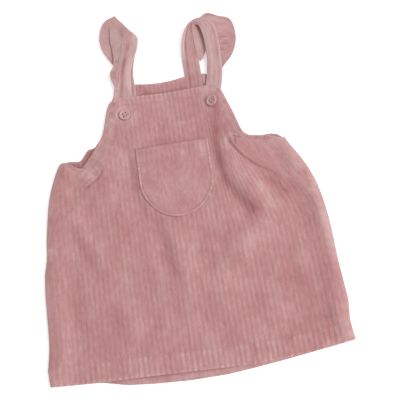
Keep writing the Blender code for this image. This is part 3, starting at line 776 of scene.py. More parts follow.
def startPanel(side, look, outer):
    columns = panelColumns(outline[side + "Top"], look["roll"], look["columns"])
    shares = [0.0]
    for end, step in look["rows"]:
        shares += inSteps(shares[-1], end, step)
    grid = panelGrid(side, columns, shares, outer)
    x, y = grid[..., 0], grid[..., 1]
    overHem = y - edgeY(side + "Hem", x)
    underTop = edgeY(side + "Top", x) - y
    hemShare = fade(overHem, dress["hemDepth"] - 1.0, 2.0)
    return grid, x, y, overHem, underTop, hemShare, ribAcross(x, y, look["roll"], side == "front")


def makeFront():
    grid, x, y, overHem, underTop, hemShare, across = startPanel("front", front, frontOuter)
    inside = sideGap(x, y)
    crest, uneven = ribHeight(across, y)
    middle, half, foot = front["bib"]
    onBib = (np.abs(x - middle) < half) & (y > foot)
    topBand = onBib * fade(underTop, dress["bibHem"] - 1.0, 2.5)
    crease, where = foldPlace(flap["line"], x, y)
    plain = ease(crease / 4.0) * fade(crease, 30.0, 26.0) * ease((0.96 - where) / 0.2)
    keep = (1 - 0.45 * fade(inside, 3, 10)) * (1 + 0.45 * onBib)  # how much of the ribs is left
    keep = keep * (1 - 0.7 * hump(crease - 1.0, 3.0) * ease((1 - where) / 0.1)) * (1 - 0.75 * plain)
    for fx, fy, halfX, halfY, lost in ribFades:
        keep = keep * (1 - lost * hump(x - fx, halfX) * hump(y - fy, halfY))
    rise = ribs["rise"] + (ribs["hemRise"] - ribs["rise"]) * hemShare
    strength = rise * (1.0 + ribs["variation"] * uneven) * keep * (1 - 0.45 * topBand)
    stitchHem = hump(overHem - dress["hemDepth"], 0.9)
    stitchTop = onBib * hump(underTop - dress["bibHem"], 0.9)
    relief = strength * crest - 0.35 * stitchHem - 0.3 * stitchTop
    relief = relief + 0.35 * hemShare * ease(overHem, 2, 6) + 0.3 * topBand
    # groove paints shade into the rib grooves, over their relief
    groove = (1.0 - crest) * np.clip(0.8 + 0.4 * uneven, 0, 1.3) * keep * (1 + 0.2 * hemShare)
    groove = groove + (0.85 - groove) * plain  # no brushed streaks on the flap
    patchy = np.clip(0.5 + 0.8 * softNoise(seeds["frontEdges"], x, y, 9.0, 9.0), 0, 1.3)
    bibEdge = hump(underTop, 1.6) * (1 - 0.8 * onBib * ease(x, 44, 8))  # less before the right strap
    overStitches = hump(overHem - dress["hemDepth"] + 2.2, 1.5)
    # Painted light and shade: strokes over folds, creases and gaps, the flap lifted to undo its groove
    # shade; highlights on the hem's rib crests, the bib's top band and the puffs above the hem's stitches;
    # painted shade in the stitch lines; highlights along the bib's top edge, the hem's fold and the rounded
    # sides, broken up at random; a painted shadow line at the flap's crease.
    shade_and_nap = lightShadeStrokes(x, y, frontLightShade) + 0.5 * velour["Groove Strength"] * plain
    shade_and_nap += 0.22 * hemShare * crest * (0.5 + 0.7 * uneven)
    shade_and_nap += topBand * (0.16 * crest - 0.02) * np.clip(keep, 0.2, 1.0)
    shade_and_nap += 0.20 * overStitches * crest * np.clip(0.4 + uneven, 0, 1.2)
    shade_and_nap -= 0.12 * stitchHem + 0.15 * stitchTop * (0.4 + crest)
    shade_and_nap += 0.40 * bibEdge * (0.3 + 0.7 * patchy) + 0.28 * patchy * hump(overHem, 1.4)
    shade_and_nap += 0.12 * hump(inside, 6.0)
    shade_and_nap -= 0.55 * hump(crease + 0.2, 0.7) * ease(where / 0.2) * ease((1 - where) / 0.3)
    thick = dress["cloth"] + (dress["hemCloth"] - dress["cloth"]) * hemShare * ease(inside, 6, 6)
    thick = thick * (0.45 + 0.55 * ease(inside / 4.0))  # pressed thin at the side seams
    piece = clothShell("frontPanel", grid, thick, (ribMaterial, reverseMaterial),
                       napShadeMarks(groove, shade_and_nap, across, y), relief, stride=(3, 3))
    finishPiece(piece, "rib_velour", "front_panel")


# The back: its outer face lies on the table, its inner face shows at the neck, underarms and hem

back = {
    "roll": 7.0, "underRib": 0.3, "innerRib": 0.3,
    "columns": ((None, -58, 0.85), (-58, 56, 1.12), (56, None, 0.85)),
    "rows": ((0.08, 0.005), (0.60, 0.02), (0.95, 0.012), (1.0, 0.005)),
}
# Painted shade and light on the back's inner face: tone, half width, line
backLightShade = (
    ("shade over the bib", -0.50, 3, ((-34, 108), (-4, 106.4), (24, 106.8), (52, 107.2))),
    ("shade at the neck's right", -0.30, 4, ((44, 116), (47, 110), (50, 106))),
    ("light between the right strap's parts", 0.60, 2.2, ((53.6, 125), (53.4, 117), (53, 108))),
    ("shade inside the neck", -0.12, 7, ((-30, 114), (0, 112), (30, 112), (50, 113))),
)


def backOuter(x, y):
    return (dress["seamHeight"] - dress["seamHalfGap"]) * (1.0 - sideTurn(x, y, back["roll"]))


def makeBack():
    grid, x, y, overHem, underTop, hemShare, across = startPanel("back", back, backOuter)
    crest, uneven = ribHeight(across, y)
    flat = ease(sideGap(x, y) / 9.0)
    under = (crest - 1.0) * back["underRib"] * (1 + 0.3 * uneven) * flat
    inner = back["innerRib"] * crest * (1 - 0.95 * hemShare)
    thick = dress["cloth"] + (dress["hemCloth"] - dress["cloth"]) * hemShare * flat - back["underRib"]
    thick = thick * (0.5 + 0.5 * ease(sideGap(x, y) / 4.0))
    # groove paints shade into the rib grooves
    groove = (1.0 - crest) * np.clip(0.8 + 0.4 * uneven, 0, 1.3) * (1 - 0.9 * hemShare)
    # The hem made lighter; a painted highlight along the top edge; painted shadow under the front's hem and
    # beside the front's edge lower down; and the painted strokes
    shade_and_nap = 0.18 * hemShare + 0.4 * hump(underTop, 1.8) - 0.34 * ease(overHem, 4.5, 3.0) * hemShare
    shade_and_nap += lightShadeStrokes(x, y, backLightShade) - 0.30 * ease(underTop, 1.5, 4.0) * fade(underTop, 20, 20) * (y < 60)
    piece = clothShell("backPanel", grid, thick, (ribMaterial, ribMaterial),
                       napShadeMarks(groove, shade_and_nap, across, y + napShift["back"]), under, inner, facing=-1.0)
    finishPiece(piece, "rib_velour", "back_panel")


# The patch pocket

pocket = {
    "centre": 1.1, "half": 43.1, "top": 34.4, "roundY": -9.0, "roundDepth": 46.5,
    "corner": 50.0,  # degrees round the bottom where the sides of its grid end
    "grid": (96, 88), "cloth": 1.3, "lift": 0.05, "puff": 0.6, "bead": 0.3, "hem": 18.0, "rib": 0.14,
    "ribShift": 1.9, "stitch": 3.6,
}
# Painted light and shade on the pocket: tone, half width, line
pocketLightShade = (
    ("light at the top right corner", 0.26, 4, ((34, 31), (36, 22), (37, 12))),
    ("light at the top left corner", 0.18, 5, ((-36, 30), (-36, 16), (-34, 4))),
    ("light along the hem", 0.14, 5, ((-36, 22), (-10, 24), (20, 25))),
    ("soft shade at the bottom", -0.10, 9, ((-20, -36), (4, -42), (26, -34))),
    ("light low on the left", 0.16, 7, ((-36, -16), (-22, -31), (-6, -39))),
    ("light low on the right", 0.16, 6, ((39, -8), (37, -24), (28, -34))),
)


def coonsGrid(left, right, low, high):  # a grid between four edge curves
    u = np.linspace(0, 1, len(low))[:, None, None]
    v = np.linspace(0, 1, len(left))[None, :, None]
    between = left[None] * (1 - u) + right[None] * u + low[:, None] * (1 - v) + high[:, None] * v
    corners = (low[0] * (1 - u) + low[-1] * u) * (1 - v) + (high[0] * (1 - u) + high[-1] * u) * v
    return between - corners


def pocketArc(angle, inset=0.0):  # degrees from straight down, to the right positive
    a = math.radians(angle)
    wide, deep = pocket["half"] - inset, pocket["roundDepth"] - inset
    return (pocket["centre"] + wide * math.sin(a), pocket["roundY"] - deep * math.cos(a))


def pocketSide(sign):
    line = [pocketArc(sign * a) for a in np.linspace(pocket["corner"], 90, 16)]
    line.append((pocket["centre"] + sign * pocket["half"], pocket["top"]))
    return evenPoints(line, pocket["grid"][1])


def makePocket():
    look = pocket
    columns = look["grid"][0]
    low = evenPoints([pocketArc(a) for a in np.linspace(-look["corner"], look["corner"], 40)], columns)
    left, right = pocketSide(-1), pocketSide(1)
    plan = coonsGrid(left, right, low, np.linspace(left[-1], right[-1], columns))
    x, y = plan[..., 0], plan[..., 1]
    rim = np.concatenate([left[::-1], low, right])
    edgeGap = np.min([np.hypot(x - px, y - py) for px, py in rim], axis=0)
    topGap = look["top"] - y
    crest, uneven = ribHeight(x + look["ribShift"], y)
    ribShare = (0.3 + 2.2 * fade(topGap, 0, 26.0)) * ease(np.minimum(edgeGap, topGap), 3.0, 3.0)
    relief = look["puff"] * ease(edgeGap, 4.0, 14.0) + look["rib"] * ribShare * crest
    relief += look["bead"] * hump(edgeGap - 1.2, 1.0) - 0.3 * hump(edgeGap - look["stitch"], 0.9)
    relief += 0.3 * hump(topGap - 1.3, 1.1) - 0.12 * hump(topGap - look["hem"], 0.9)
    relief += 0.25 * fade(topGap, look["hem"] - 1.5, 2.0)
    # groove paints shade into the rib grooves and the stitching's dent
    groove = (1.0 - crest) * ribShare * np.clip(0.4 + 0.5 * uneven, 0, 1)
    groove += 0.45 * hump(edgeGap - look["stitch"], 0.8)
    patchy = np.clip(0.35 + 0.8 * softNoise(seeds["pocketEdge"], x, y, 7.0, 7.0), 0, 1.2)
    # Painted highlight on the piped edge, broken up at random; painted shadow along the mouth and in the
    # hem's stitching; and the painted strokes
    shade_and_nap = 0.55 * hump(edgeGap - 1.0, 0.9) * patchy - 0.50 * hump(topGap, 0.9)
    shade_and_nap += lightShadeStrokes(x, y, pocketLightShade) - 0.08 * hump(topGap - look["hem"], 0.8)
    grid = np.stack([x, y, restingHeight(x, y) + look["lift"] + look["cloth"]], axis=2)
    piece = clothShell("patchPocket", grid, look["cloth"], (ribMaterial, reverseMaterial),
                       napShadeMarks(groove, shade_and_nap, x + napShift["pocket"], y), relief, stride=(2, 2))
    finishPiece(piece, "rib_velour", "pocket")


# The facings along the front armholes: a point on the armhole edge and the point across from it

bands = {
    "cloth": 1.0, "lift": 0.55, "stitch": 2.0, "bridge": 2.5, "grid": (12, 20),
    "left": (
        (-63, 102.5, -53, 95), (-69.5, 92, -58.5, 86), (-73.5, 77.5, -61.5, 74), (-77.8, 62.5, -65, 57),
        (-84.4, 50, -69, 41), (-92.6, 38.8, -74.5, 29.5), (-99.6, 29.6, -80.2, 22),
        (-104.6, 23.8, -84, 16), (-107.8, 21.6, -87.2, 9.2), (-111.4, 22.2, -94.2, 3.6),
        (-116.4, 25.4, -101.2, 0), (-121.4, 28.6, -107.4, -4.6), (-126.4, 31.2, -113.4, -9),
    ),
    "right": (
        (68.4, 97.8, 61, 91.5), (72, 88.8, 62.6, 85), (74.8, 78.8, 64.2, 75), (79.3, 65.2, 67, 61),
        (82.9, 50, 72, 48), (86.2, 36, 77.5, 35), (90.5, 30.4, 86, 26.6), (98, 28.2, 96.2, 23.2),
        (107, 26.6, 105.8, 21.6), (115.5, 24.2, 113.6, 19.4), (123, 20, 120, 16),
    ),
    "leftFlat": (0.026, 0.16, 0.00235), "rightFlat": (0.015, 0.13, 0.00105),
    # painted highlights on the band: tone, half width, line
    "shading": (
        ("light on the corner", 0.40, 5, ((-104, 21), (-97, 12), (-89, 1))),
        ("light beside the bib", 0.30, 5, ((-65, 82), (-67.5, 66), (-71, 50))),
    ),
}


def makeBand(side):
    table = bands[side]
    fine, count = bands["grid"]
    places = finePlaces(table, fine)
    rows = smoothRows(table, places)
    share = np.linspace(0, 1, count)
    plan = rows[:, None, :2] * (1 - share[:, None]) + rows[:, None, 2:] * share[:, None]
    x, y = plan[..., 0], plan[..., 1]
    across = np.linalg.norm(plan - plan[:, :1], axis=2)
    fromStitch = across[:, -1:] - across - bands["stitch"]
    run = lengthAlong(rows[:, :2])
    stitched = hump(fromStitch, 0.8)
    tail = ease((places[-1] - places) / 1.6)[:, None]  # the far end sinks into the panel
    puckers = 0.16 * np.sin(2 * math.pi * run / 5.2 + 1.5 * np.sin(run / 7.0)) * hump(fromStitch, 2.5)
    mitre = 0.0
    if side == "left":
        mitre = hump(places[:, None] - (5.6 + 2.5 * share), 0.14) * ease(share, 0.3, 0.15)
    height = restingHeight(x, y, bands["bridge"]) + bands["lift"] * (1.9 * tail - 0.9)
    height += 0.35 * hump(across - 1.5, 1.6) - 0.5 * fade(fromStitch, -bands["stitch"], 1.8) * tail
    height += puckers - 0.3 * stitched - 0.45 * mitre
    # Painted highlight along the armhole edge, painted shade in the stitch line and the mitre seam, a
    # little random nap tone, all fading at the far end, and the painted highlights
    shade_and_nap = 0.22 * hump(across, 1.6) - 0.20 * stitched - 0.4 * mitre
    shade_and_nap += 0.14 * softNoise(seeds["bandNap"], x, y, 16.0, 16.0)
    shade_and_nap = shade_and_nap * tail - 0.08 + lightShadeStrokes(x, y, bands["shading"])
    grid = np.stack([x, y, height], axis=2)
    relief = 0.12 * softNoise(seeds["bandForm"], x, y, 9.0, 9.0)
    piece = clothShell("armholeBand" + side.capitalize(), grid, bands["cloth"], (smoothMaterial,),
                       napShadeMarks(0.0, shade_and_nap, across + napShift["band"], run), relief,
                       facing=-1.0 if side == "right" else 1.0)
    finishPiece(piece, "smooth_velour", "armhole_band_" + side)


# Straps from behind the bib, over the shoulder, down to the back neckline: outer and inner edge, bow

straps = {
    "cloth": 2.4, "crown": 0.5, "ribs": 0.42, "width": 20, "grid": (10, 44),
    "left": (
        (-59.5, 64, 3.2, -39.5, 64, 3.2, 0), (-60.2, 84, 3.3, -39.5, 84, 3.3, 0),
        (-61.4, 103, 3.5, -38.9, 103, 3.5, 0), (-58.8, 119, 4.6, -37.3, 119, 4.6, 0),
        (-54.2, 137, 7, -35.2, 137.5, 7.2, 0), (-49.8, 151.5, 8.6, -30.6, 152.5, 9, 0),
        (-45.2, 166, 9.8, -24.6, 164, 10.4, 0.3), (-41.8, 179.4, 11, -21.6, 172.4, 11.4, 1.1),
        (-38.6, 190.6, 11.8, -21, 177.8, 11.6, 1.9), (-36.4, 197.6, 10.8, -21.3, 180.8, 10.6, 2.5),
        (-35.6, 199.6, 8.2, -21.6, 181.8, 8, 2.7), (-36.2, 197.6, 5.6, -22.3, 180.4, 5.4, 2.4),
        (-38.6, 190.6, 3.4, -24.4, 177, 3.4, 1.4), (-42.5, 173, 2.3, -27.4, 164, 2.3, 0.3),
        (-46, 150, 2.2, -31.6, 147.6, 2.2, 0), (-50, 130, 2.3, -32.9, 130, 2.3, 0),
        (-51.8, 119, 2, -32.2, 119, 2, 0), (-52.6, 103, 1.9, -33.2, 103, 1.9, 0),
    ),
    "right": (
        (61, 61, 3.2, 42.5, 67, 3.2, 0), (65.6, 80, 3.3, 46.6, 85, 3.3, 0),
        (72.4, 101, 3.4, 53, 105.5, 3.3, 0), (77, 119, 4.8, 56.6, 119.5, 4.2, 0),
        (77.9, 132, 6.4, 58.8, 130.5, 6, 0), (78.6, 144, 8, 60.4, 141, 7.6, 0),
        (79.2, 160, 9.5, 60.8, 156, 9.5, 0), (78.7, 172.5, 10.9, 60.2, 171, 11.1, 0),
        (76.4, 184, 11.9, 58.6, 180.2, 12, -0.3), (70.7, 192.2, 12, 56.8, 185.8, 12, -0.4),
        (62.4, 197.2, 11.6, 54.8, 188, 11.6, 0), (53.2, 197.8, 10.8, 51.8, 188.6, 10.8, 0),
        (44.6, 193.4, 9.6, 49.4, 186.6, 9.8, 0), (38, 183.6, 8.2, 49.4, 182, 8.4, 0),
        (33.4, 172.4, 6.6, 50.4, 172.6, 6.8, 0), (31, 161, 5, 50.9, 161.4, 5.2, 0),
        (29.8, 147, 3.2, 51, 147, 3.4, 0), (29.7, 131, 2.3, 50.8, 131, 2.4, 0),
        (29.3, 120, 1, 50.6, 120, 1.7, 0), (28.6, 100.6, 0.9, 49.6, 101, 1.5, 0),
    ),
    # grooves between the ribs: place across from the outer edge at both ends, depth at both ends, width
    "leftGrooves": ((0.43, 0.50, 0.85, 0.7, 0.12), (0.70, 0.22, 0.2, 0.4, 0.06),
                    (0.90, 0.80, 0.3, 0.5, 0.04)),
    "rightGrooves": ((0.22, 0.27, 0.55, 1, 0.065), (0.56, 0.52, 0.6, 0.3, 0.075),
                     (0.84, 0.72, 0.3, 0.6, 0.06)),
    # painted light and shade on the part in front: tone, half width, line
    "leftStrokes": (
        ("shade line under the frill", -0.42, 2.4, ((-50.6, 98), (-50.4, 110), (-46.9, 130),
                                                      (-42.6, 148), (-38.4, 166), (-36.4, 184))),
        ("light wedge beside it", 0.24, 2.4, ((-37.5, 110), (-40, 122), (-39.6, 134), (-36.5, 147),
                                              (-32, 160))),
        ("pink above the bib", -0.30, 2.6, ((-44, 98), (-44, 110), (-42.6, 120))),
        ("soft shade up the middle", -0.20, 4, ((-44, 106), (-43.6, 126), (-43.8, 146), (-41, 160))),
        ("light outer edge", 0.30, 2, ((-59.5, 98), (-58, 110), (-55, 120))),
    ),
    "rightStrokes": (
        ("shade round the loop's top", -0.45, 1.8, ((47.6, 176), (48.4, 185.6), (51.6, 189.8),
                                                      (56.6, 188.2), (59.2, 180))),
        ("shade on the inner edge", -0.55, 2.2, ((56, 106), (58.4, 118), (60.4, 134), (61.6, 148),
                                                 (61.6, 164))),
        ("light down the middle", 0.15, 2.2, ((66, 110), (67, 130), (69, 150), (69.6, 170), (66, 184))),
        ("pink down the outer rib", -0.25, 1.8, ((71, 110), (72, 130), (73.6, 150), (73.8, 168),
                                                 (71, 182))),
    ),
}
# Painted light and shade by row along the strap, for its outer and its inner half
strapLightShade = {
    "left": ((0, 0, 0), (2.2, 0.15, 0), (3.4, 0.1, 0.4), (4.4, 0, 0.35), (5.4, 0, 0.1), (7.6, -0.1, 0.3),
             (8.6, -0.3, 0.4), (9.5, -0.1, 0.45), (11, 0.1, 0.3), (14, 0, 0), (17, -0.2, -0.2)),
    "right": ((0, 0, 0), (3, 0, 0.1), (5, 0, 0.3), (7, -0.05, 0.2), (9, 0.1, 0), (10.5, 0, -0.2),
              (12, -0.1, -0.25), (13, -0.1, -0.25), (15, -0.15, -0.25), (17, -0.2, -0.2),
              (17.6, -0.4, -0.3), (18, -0.5, -0.5), (19, -0.5, -0.5)),
}


def strapPoints(table, places, across):  # points of a strap's middle face
    rows = smoothRows(table, places)
    outer, inner, bow = rows[:, :3], rows[:, 3:6], rows[:, 6]
    chord = inner - outer
    ahead = unit(np.stack([-chord[:, 1], chord[:, 0], 0 * bow], axis=1))
    share = np.atleast_2d(across)[..., None]
    bowed = 4.0 * share * (1 - share) * bow[:, None, None]
    return outer[:, None] + chord[:, None] * share + ahead[:, None] * bowed


def makeStrap(side):
    table = straps[side]
    last = len(table) - 1
    fine, count = straps["grid"]
    places = finePlaces(table, fine)
    place, share = places[:, None], np.linspace(0, 1, count)[None]
    middle = strapPoints(table, places, share)
    far = ease(place / last, 0.35, 0.3)
    lumps = 1.0
    for near, behind, nearDepth, behindDepth, width in straps[side + "Grooves"]:
        spot = near + (behind - near) * far
        lumps = lumps - (nearDepth + (behindDepth - nearDepth) * far) * hump(share - spot, width)
    run = lengthAlong(middle[:, count // 2])
    uneven = softNoise(seeds[side + "Strap"], run, share * 30, 28.0, 30.0)
    relief = straps["ribs"] * lumps * (1 + 0.2 * uneven) - 0.6
    relief = relief + straps["crown"] * (1 - (2 * share - 1) ** 2)
    # groove paints shade into the grooves between the strap's ribs
    groove = np.clip((1 - lumps) * (0.85 + 0.35 * uneven), 0, 1)
    tones = np.array(strapLightShade[side], float)
    outerTone, innerTone = (np.interp(place, tones[:, 0], tones[:, n]) for n in (1, 2))
    shade_and_nap = outerTone + (innerTone - outerTone) * ease(share, 0.3, 0.4)
    # painted highlights along both rolled edges
    shade_and_nap = shade_and_nap + 0.15 * (hump(share, 0.05) + hump(1 - share, 0.05))
    inFront = fade(place, 9.6, 0.8) if side == "left" else 1.0
    shade_and_nap = shade_and_nap + inFront * lightShadeStrokes(middle[..., 0], middle[..., 1], straps[side + "Strokes"])
    if side == "right":  # its neck edge turns up behind, with a painted highlight on it and a painted shade line beside it
        turned = ease(place, 11.0, 1.6) * fade(place, 15.0, 2.0)
        shade_and_nap = shade_and_nap + turned * (fade(share, 0.13, 0.07) - 0.30 * hump(share - 0.27, 0.06))
        relief = relief + 0.4 * turned * fade(share, 0.14, 0.08)
    thick = straps["cloth"] - 1.1 * ease(place, last - 2.4, 1.2)  # thinner where it is sewn in
    grid = middle - gridNormals(middle) * 0.5 * thick[..., None]
    piece = clothShell("strap" + side.capitalize(), grid, thick, (strapMaterialLit,),
                       napShadeMarks(groove, shade_and_nap, share * straps["width"] + napShift["strap"], run),
                       relief, relief, rim=5, facing=-1.0)
    finishPiece(piece, "rib_velour", "strap_" + side)


# Frills on the straps' outer edges: row of the strap where each line starts, and its free end

frills = {
    "cloth": 1.3, "width": 22, "grid": (14, 44),
    "pleats": {"left": 0.11, "right": 0.10},
    "waves": {"left": 0.2, "right": 0.4},
    "gathered": {"left": 0.36, "right": 0.06},  # share of the way out where the pleats are deepest
    # place across the strap where the frill's inner edge lies on it in front
    "start": {"left": 0.27, "right": 0.07},
    # the same behind it, and how far over the strap's middle
    "behind": {"left": (0.13, 0.2), "right": (0.86, -1.5)},
    "left": (
        (2.7, -58, 117.6, 6), (3.1, -58.6, 124.6, 6.2), (3.45, -60.6, 131.6, 6.2),
        (3.8, -61.5, 138.2, 6.2), (4.15, -60.4, 144.4, 6.2), (4.5, -57.2, 149.2, 6.2),
        (4.9, -55.6, 155, 5.5), (5.4, -54.7, 163.6, 5.3), (5.9, -55.3, 173, 5.3),
        (6.4, -56.2, 182.6, 5.3), (6.9, -56.6, 192, 5.3), (7.4, -55.8, 201, 5.2), (7.9, -55.4, 209.5, 5),
        (8.4, -55.6, 216.4, 4.6), (8.9, -53.4, 221.7, 5.4), (9.5, -48.4, 224.2, 6.4),
        (10, -47, 224.4, 6.2), (10.6, -50.4, 224.2, 5.4), (11.2, -58.6, 221.4, 4.9),
        (11.7, -64.2, 215.8, 4.6), (12.1, -68, 207.2, 4.4), (12.5, -70.2, 195.6, 4.2),
        (12.9, -69.6, 184.2, 4), (13.3, -66.8, 174.2, 3.7), (13.7, -62.2, 164.8, 3.3),
        (14.1, -57, 154.4, 2.8),
    ),
    "right": (
        (3.6, 78, 124.6, 7), (4.1, 84.4, 131.4, 7), (4.7, 91.4, 139.6, 7), (5.4, 97.2, 150, 7),
        (6.1, 100.8, 162, 7.2), (6.9, 101.8, 175, 7.8), (7.8, 99.6, 187, 8.6), (8.6, 94.4, 193.8, 9.2),
        (9.4, 86.4, 197.4, 9), (10, 81, 200.6, 7.8), (10.6, 76, 204, 6.8), (11.2, 71, 206.4, 6.2),
        (11.8, 66.4, 206, 6), (12.4, 63.2, 202.6, 5.8), (13, 63.4, 195, 5.6), (13.8, 65.4, 184, 5.2),
        (14.5, 65.4, 170, 4.6), (15, 62.6, 158, 4), (15.5, 58.2, 148.4, 3.4), (16, 53.2, 141, 2.8),
    ),
    # tone, half width and line of painted light and shade on the side that shows in front
    "leftNap": (
        ("shade by the shoulder", -0.45, 2.2, ((-42.5, 200), (-39.5, 190), (-36.8, 179))),
        ("light down the strip", 0.12, 4, ((-48, 206), (-48, 190), (-47, 172), (-49, 156))),
        ("light at the strip's foot", 0.32, 4, ((-58, 164), (-58, 154), (-56, 142))),
        ("soft fold at the neck of the strip", -0.25, 1.6, ((-54, 157), (-49, 155), (-45, 151))),
    ),
    "rightNap": (
        ("back of it over the top", -0.65, 2.6, ((56, 202), (63, 203.4), (71, 203.8), (79, 202.2),
                                                 (86, 199))),
        ("fold over the top", -0.45, 0.8, ((56, 198.4), (62, 199), (72, 199.6), (81, 199.2), (86, 197.4))),
        ("light by the strap", 0.22, 7, ((66, 196), (76, 193), (85, 186), (89, 176))),
        ("gather 1", -0.40, 0.9, ((81.4, 167.4), (87, 166.4), (92.4, 165.4))),
        ("gather 2", -0.40, 0.9, ((79.8, 157.8), (85, 156.8), (90.8, 155.6))),
        ("gather 3", -0.35, 0.9, ((76, 150), (81.5, 149), (87, 148))),
        ("light under gather 1", 0.20, 1.2, ((81.4, 164.6), (87, 163.6), (92, 162.6))),
        ("light under gather 2", 0.20, 1.2, ((79.8, 155), (85, 154), (90, 153))),
    ),
    "knots": {
        "left": ((-50.8, 164.2), (-43.8, 152.7), (-41.2, 176.3), (-38.1, 175.8)),
        "right": ((81.6, 173.6), (81, 161.2)),
    },
}


def strapFace(table, places, share, lift):  # points over a strap's middle face
    share, lift = (np.broadcast_to(value, places.shape)[:, None] for value in (share, lift))
    here, beside = (strapPoints(table, places, spot)[:, 0] for spot in (share, share + 0.02))
    ahead = strapPoints(table, places + 0.02, share)[:, 0]
    return here + unit(np.cross(beside - here, ahead - here)) * lift


def makeFrill(side):
    table, strap = frills[side], straps[side]
    fine, count = frills["grid"]
    rows = smoothRows(table, finePlaces(table, fine))
    place, t = rows[:, :1], np.linspace(0, 1, count)[None]
    out = t * frills["width"]  # how far out from its seam, on the flat cloth
    over = fade(place, 9.4, 1.4)  # it lies on the strap in front, under it behind
    start, (behind, lift) = frills["start"][side], frills["behind"][side]
    crossing = ease(rows[:, 0], 9.6, 2.6)
    on = strapFace(strap, rows[:, 0], start, 1.0)
    under = strapFace(strap, rows[:, 0], start + (behind - start) * crossing, lift)
    seam = under + (on - under) * over
    middle = seam[:, None] * (1 - t[..., None]) + rows[:, None, 1:] * t[..., None]
    run = lengthAlong(seam)
    bunch = np.sin(2 * math.pi * run / 6.4 + 1.3 * np.sin(run / 6.0))
    bunch = bunch + 0.5 * np.sin(2 * math.pi * run / 3.7 + 2.0)
    gathered = np.exp(-np.abs(t - frills["gathered"][side]) / 0.20) * ease(t / 0.12)
    pleats = frills["pleats"][side] * bunch * gathered
    relief = pleats + frills["waves"][side] * np.sin(2 * math.pi * run / 27.0 + 0.8) * ease(t)
    # groove paints shade into the pleats' hollows
    groove = np.clip(-pleats * 1.8, 0, 0.6)
    # painted highlight along the free edge, and a little random nap tone
    shade_and_nap = 0.10 + 0.16 * hump(1 - t, 0.05) + 0.08 * softNoise(seeds["frill"], run, out, 16.0, 18.0)
    x, y = middle[..., 0], middle[..., 1]
    shade_and_nap = shade_and_nap + lightShadeStrokes(x, y, frills[side + "Nap"]) * ease((12.5 - place) / 0.5)
    # each knot: a small bump with a painted highlight on it and a painted shade ring round it
    for knotX, knotY in frills["knots"][side]:
        away = np.hypot(x - knotX, y - knotY)
        shade_and_nap = shade_and_nap + (0.55 * hump(away, 1.1) - 0.3 * hump(away - 1.9, 0.5)) * over
        relief = relief + 0.25 * hump(away, 1.1) * over
    # left: the strip in front made lighter, with painted shade in two dents; right: a little darker, and
    # painted light inside the loop, where it lies in shade
    if side == "left":
        dents = 0.30 * hump(place - 3.9, 0.6) + 0.35 * hump(place - 8.6, 0.5) * hump(t - 0.2, 0.3)
        shade_and_nap = shade_and_nap + over * (0.22 - dents)
    else:
        shade_and_nap = shade_and_nap - 0.12 + 0.22 * ease(place, 12.8, 0.8)
    grid = middle - gridNormals(middle) * (0.5 * frills["cloth"] + relief[..., None])
    piece = clothShell("frill" + side.capitalize(), grid, frills["cloth"], (smoothMaterial,),
                       napShadeMarks(groove, shade_and_nap, run + napShift["frill"], out), facing=-1.0)
    finishPiece(piece, "smooth_velour", "frill_" + side)


# Stitches: short threads along a line of plan points, all in one mesh

stitching = {
    "length": 2.6, "gap": 0.7, "radius": 0.24, "sink": 0.3, "sides": 6, "lift": 0.12,
    "stations": (-1.0, -0.85, -0.5, 0.0, 0.5, 0.85, 1.0),  # rings along a stitch, from end to end
}


def tubeFaces(first, rings, sides):  # a tube with closed ends, whose points start at first
    numbers = first + np.arange(rings * sides).reshape(rings, sides)
    after = np.roll(numbers, -1, axis=1)
    walls = np.stack([numbers[:-1], numbers[1:], after[1:], after[:-1]], -1).reshape(-1, 4)
    return walls.tolist() + [numbers[0].tolist(), numbers[-1, ::-1].tolist()]


def makeStitches(name, lines, made, slot):
    look = stitching
    turns = np.linspace(0, 2 * math.pi, look["sides"], endpoint=False)[:, None]
    points, faces = [], []
    for line in lines:
        count = max(int(lengthAlong(line)[-1, 0] / (look["length"] + look["gap"])), 1)
        ends = evenPoints(line, 2 * count + 1)
        for a, b in zip(ends[:-1:2], ends[2::2]):
            ahead = unit(b - a)
            beside = unit(np.cross(ahead, (0, 0, 1)))
            above = np.cross(beside, ahead)
            half = 0.5 * (np.linalg.norm(b - a) - look["gap"])
            ring = look["radius"] * (beside * np.cos(turns) + above * np.sin(turns))
            faces += tubeFaces(len(points), len(look["stations"]), look["sides"])
            for station in look["stations"]:
                centre = 0.5 * (a + b) + ahead * half * station - above * look["sink"] * station ** 2
                points += list(centre + ring * (math.sqrt(1 - station ** 4) + 0.02))
    finishPiece(addMesh(name, toWorld(points), faces, (made,)), slot)


def onCloth(x, y, lift):  # plan points on the front, lifted a little
    return np.stack([x, y, frontOuter(x, y) + lift], axis=1)


def grain(tree, scale, detail=2.0, rough=0.5):  # even noise in the object's own space
    place = addNode(tree, "TexCoord").outputs["Object"]
    return noise(tree, place, (1, 1, 1), detail, rough, scale)


def makeThreadMaterial():
    made, tree, shader = newMaterial("sewingThread")
    twist = spread(tree, grain(tree, 2200.0, rough=0.6), 0.3, 0.7)
    feed(tree, shader, {
        "Base Color": mixColour(tree, twist, (0.42, 0.235, 0.23, 1), (0.52, 0.34, 0.33, 1)),
        "Roughness": spread(tree, twist, 0.0, 1.0, 0.75, 0.6), "Specular IOR Level": 0.3,
    })
    return made


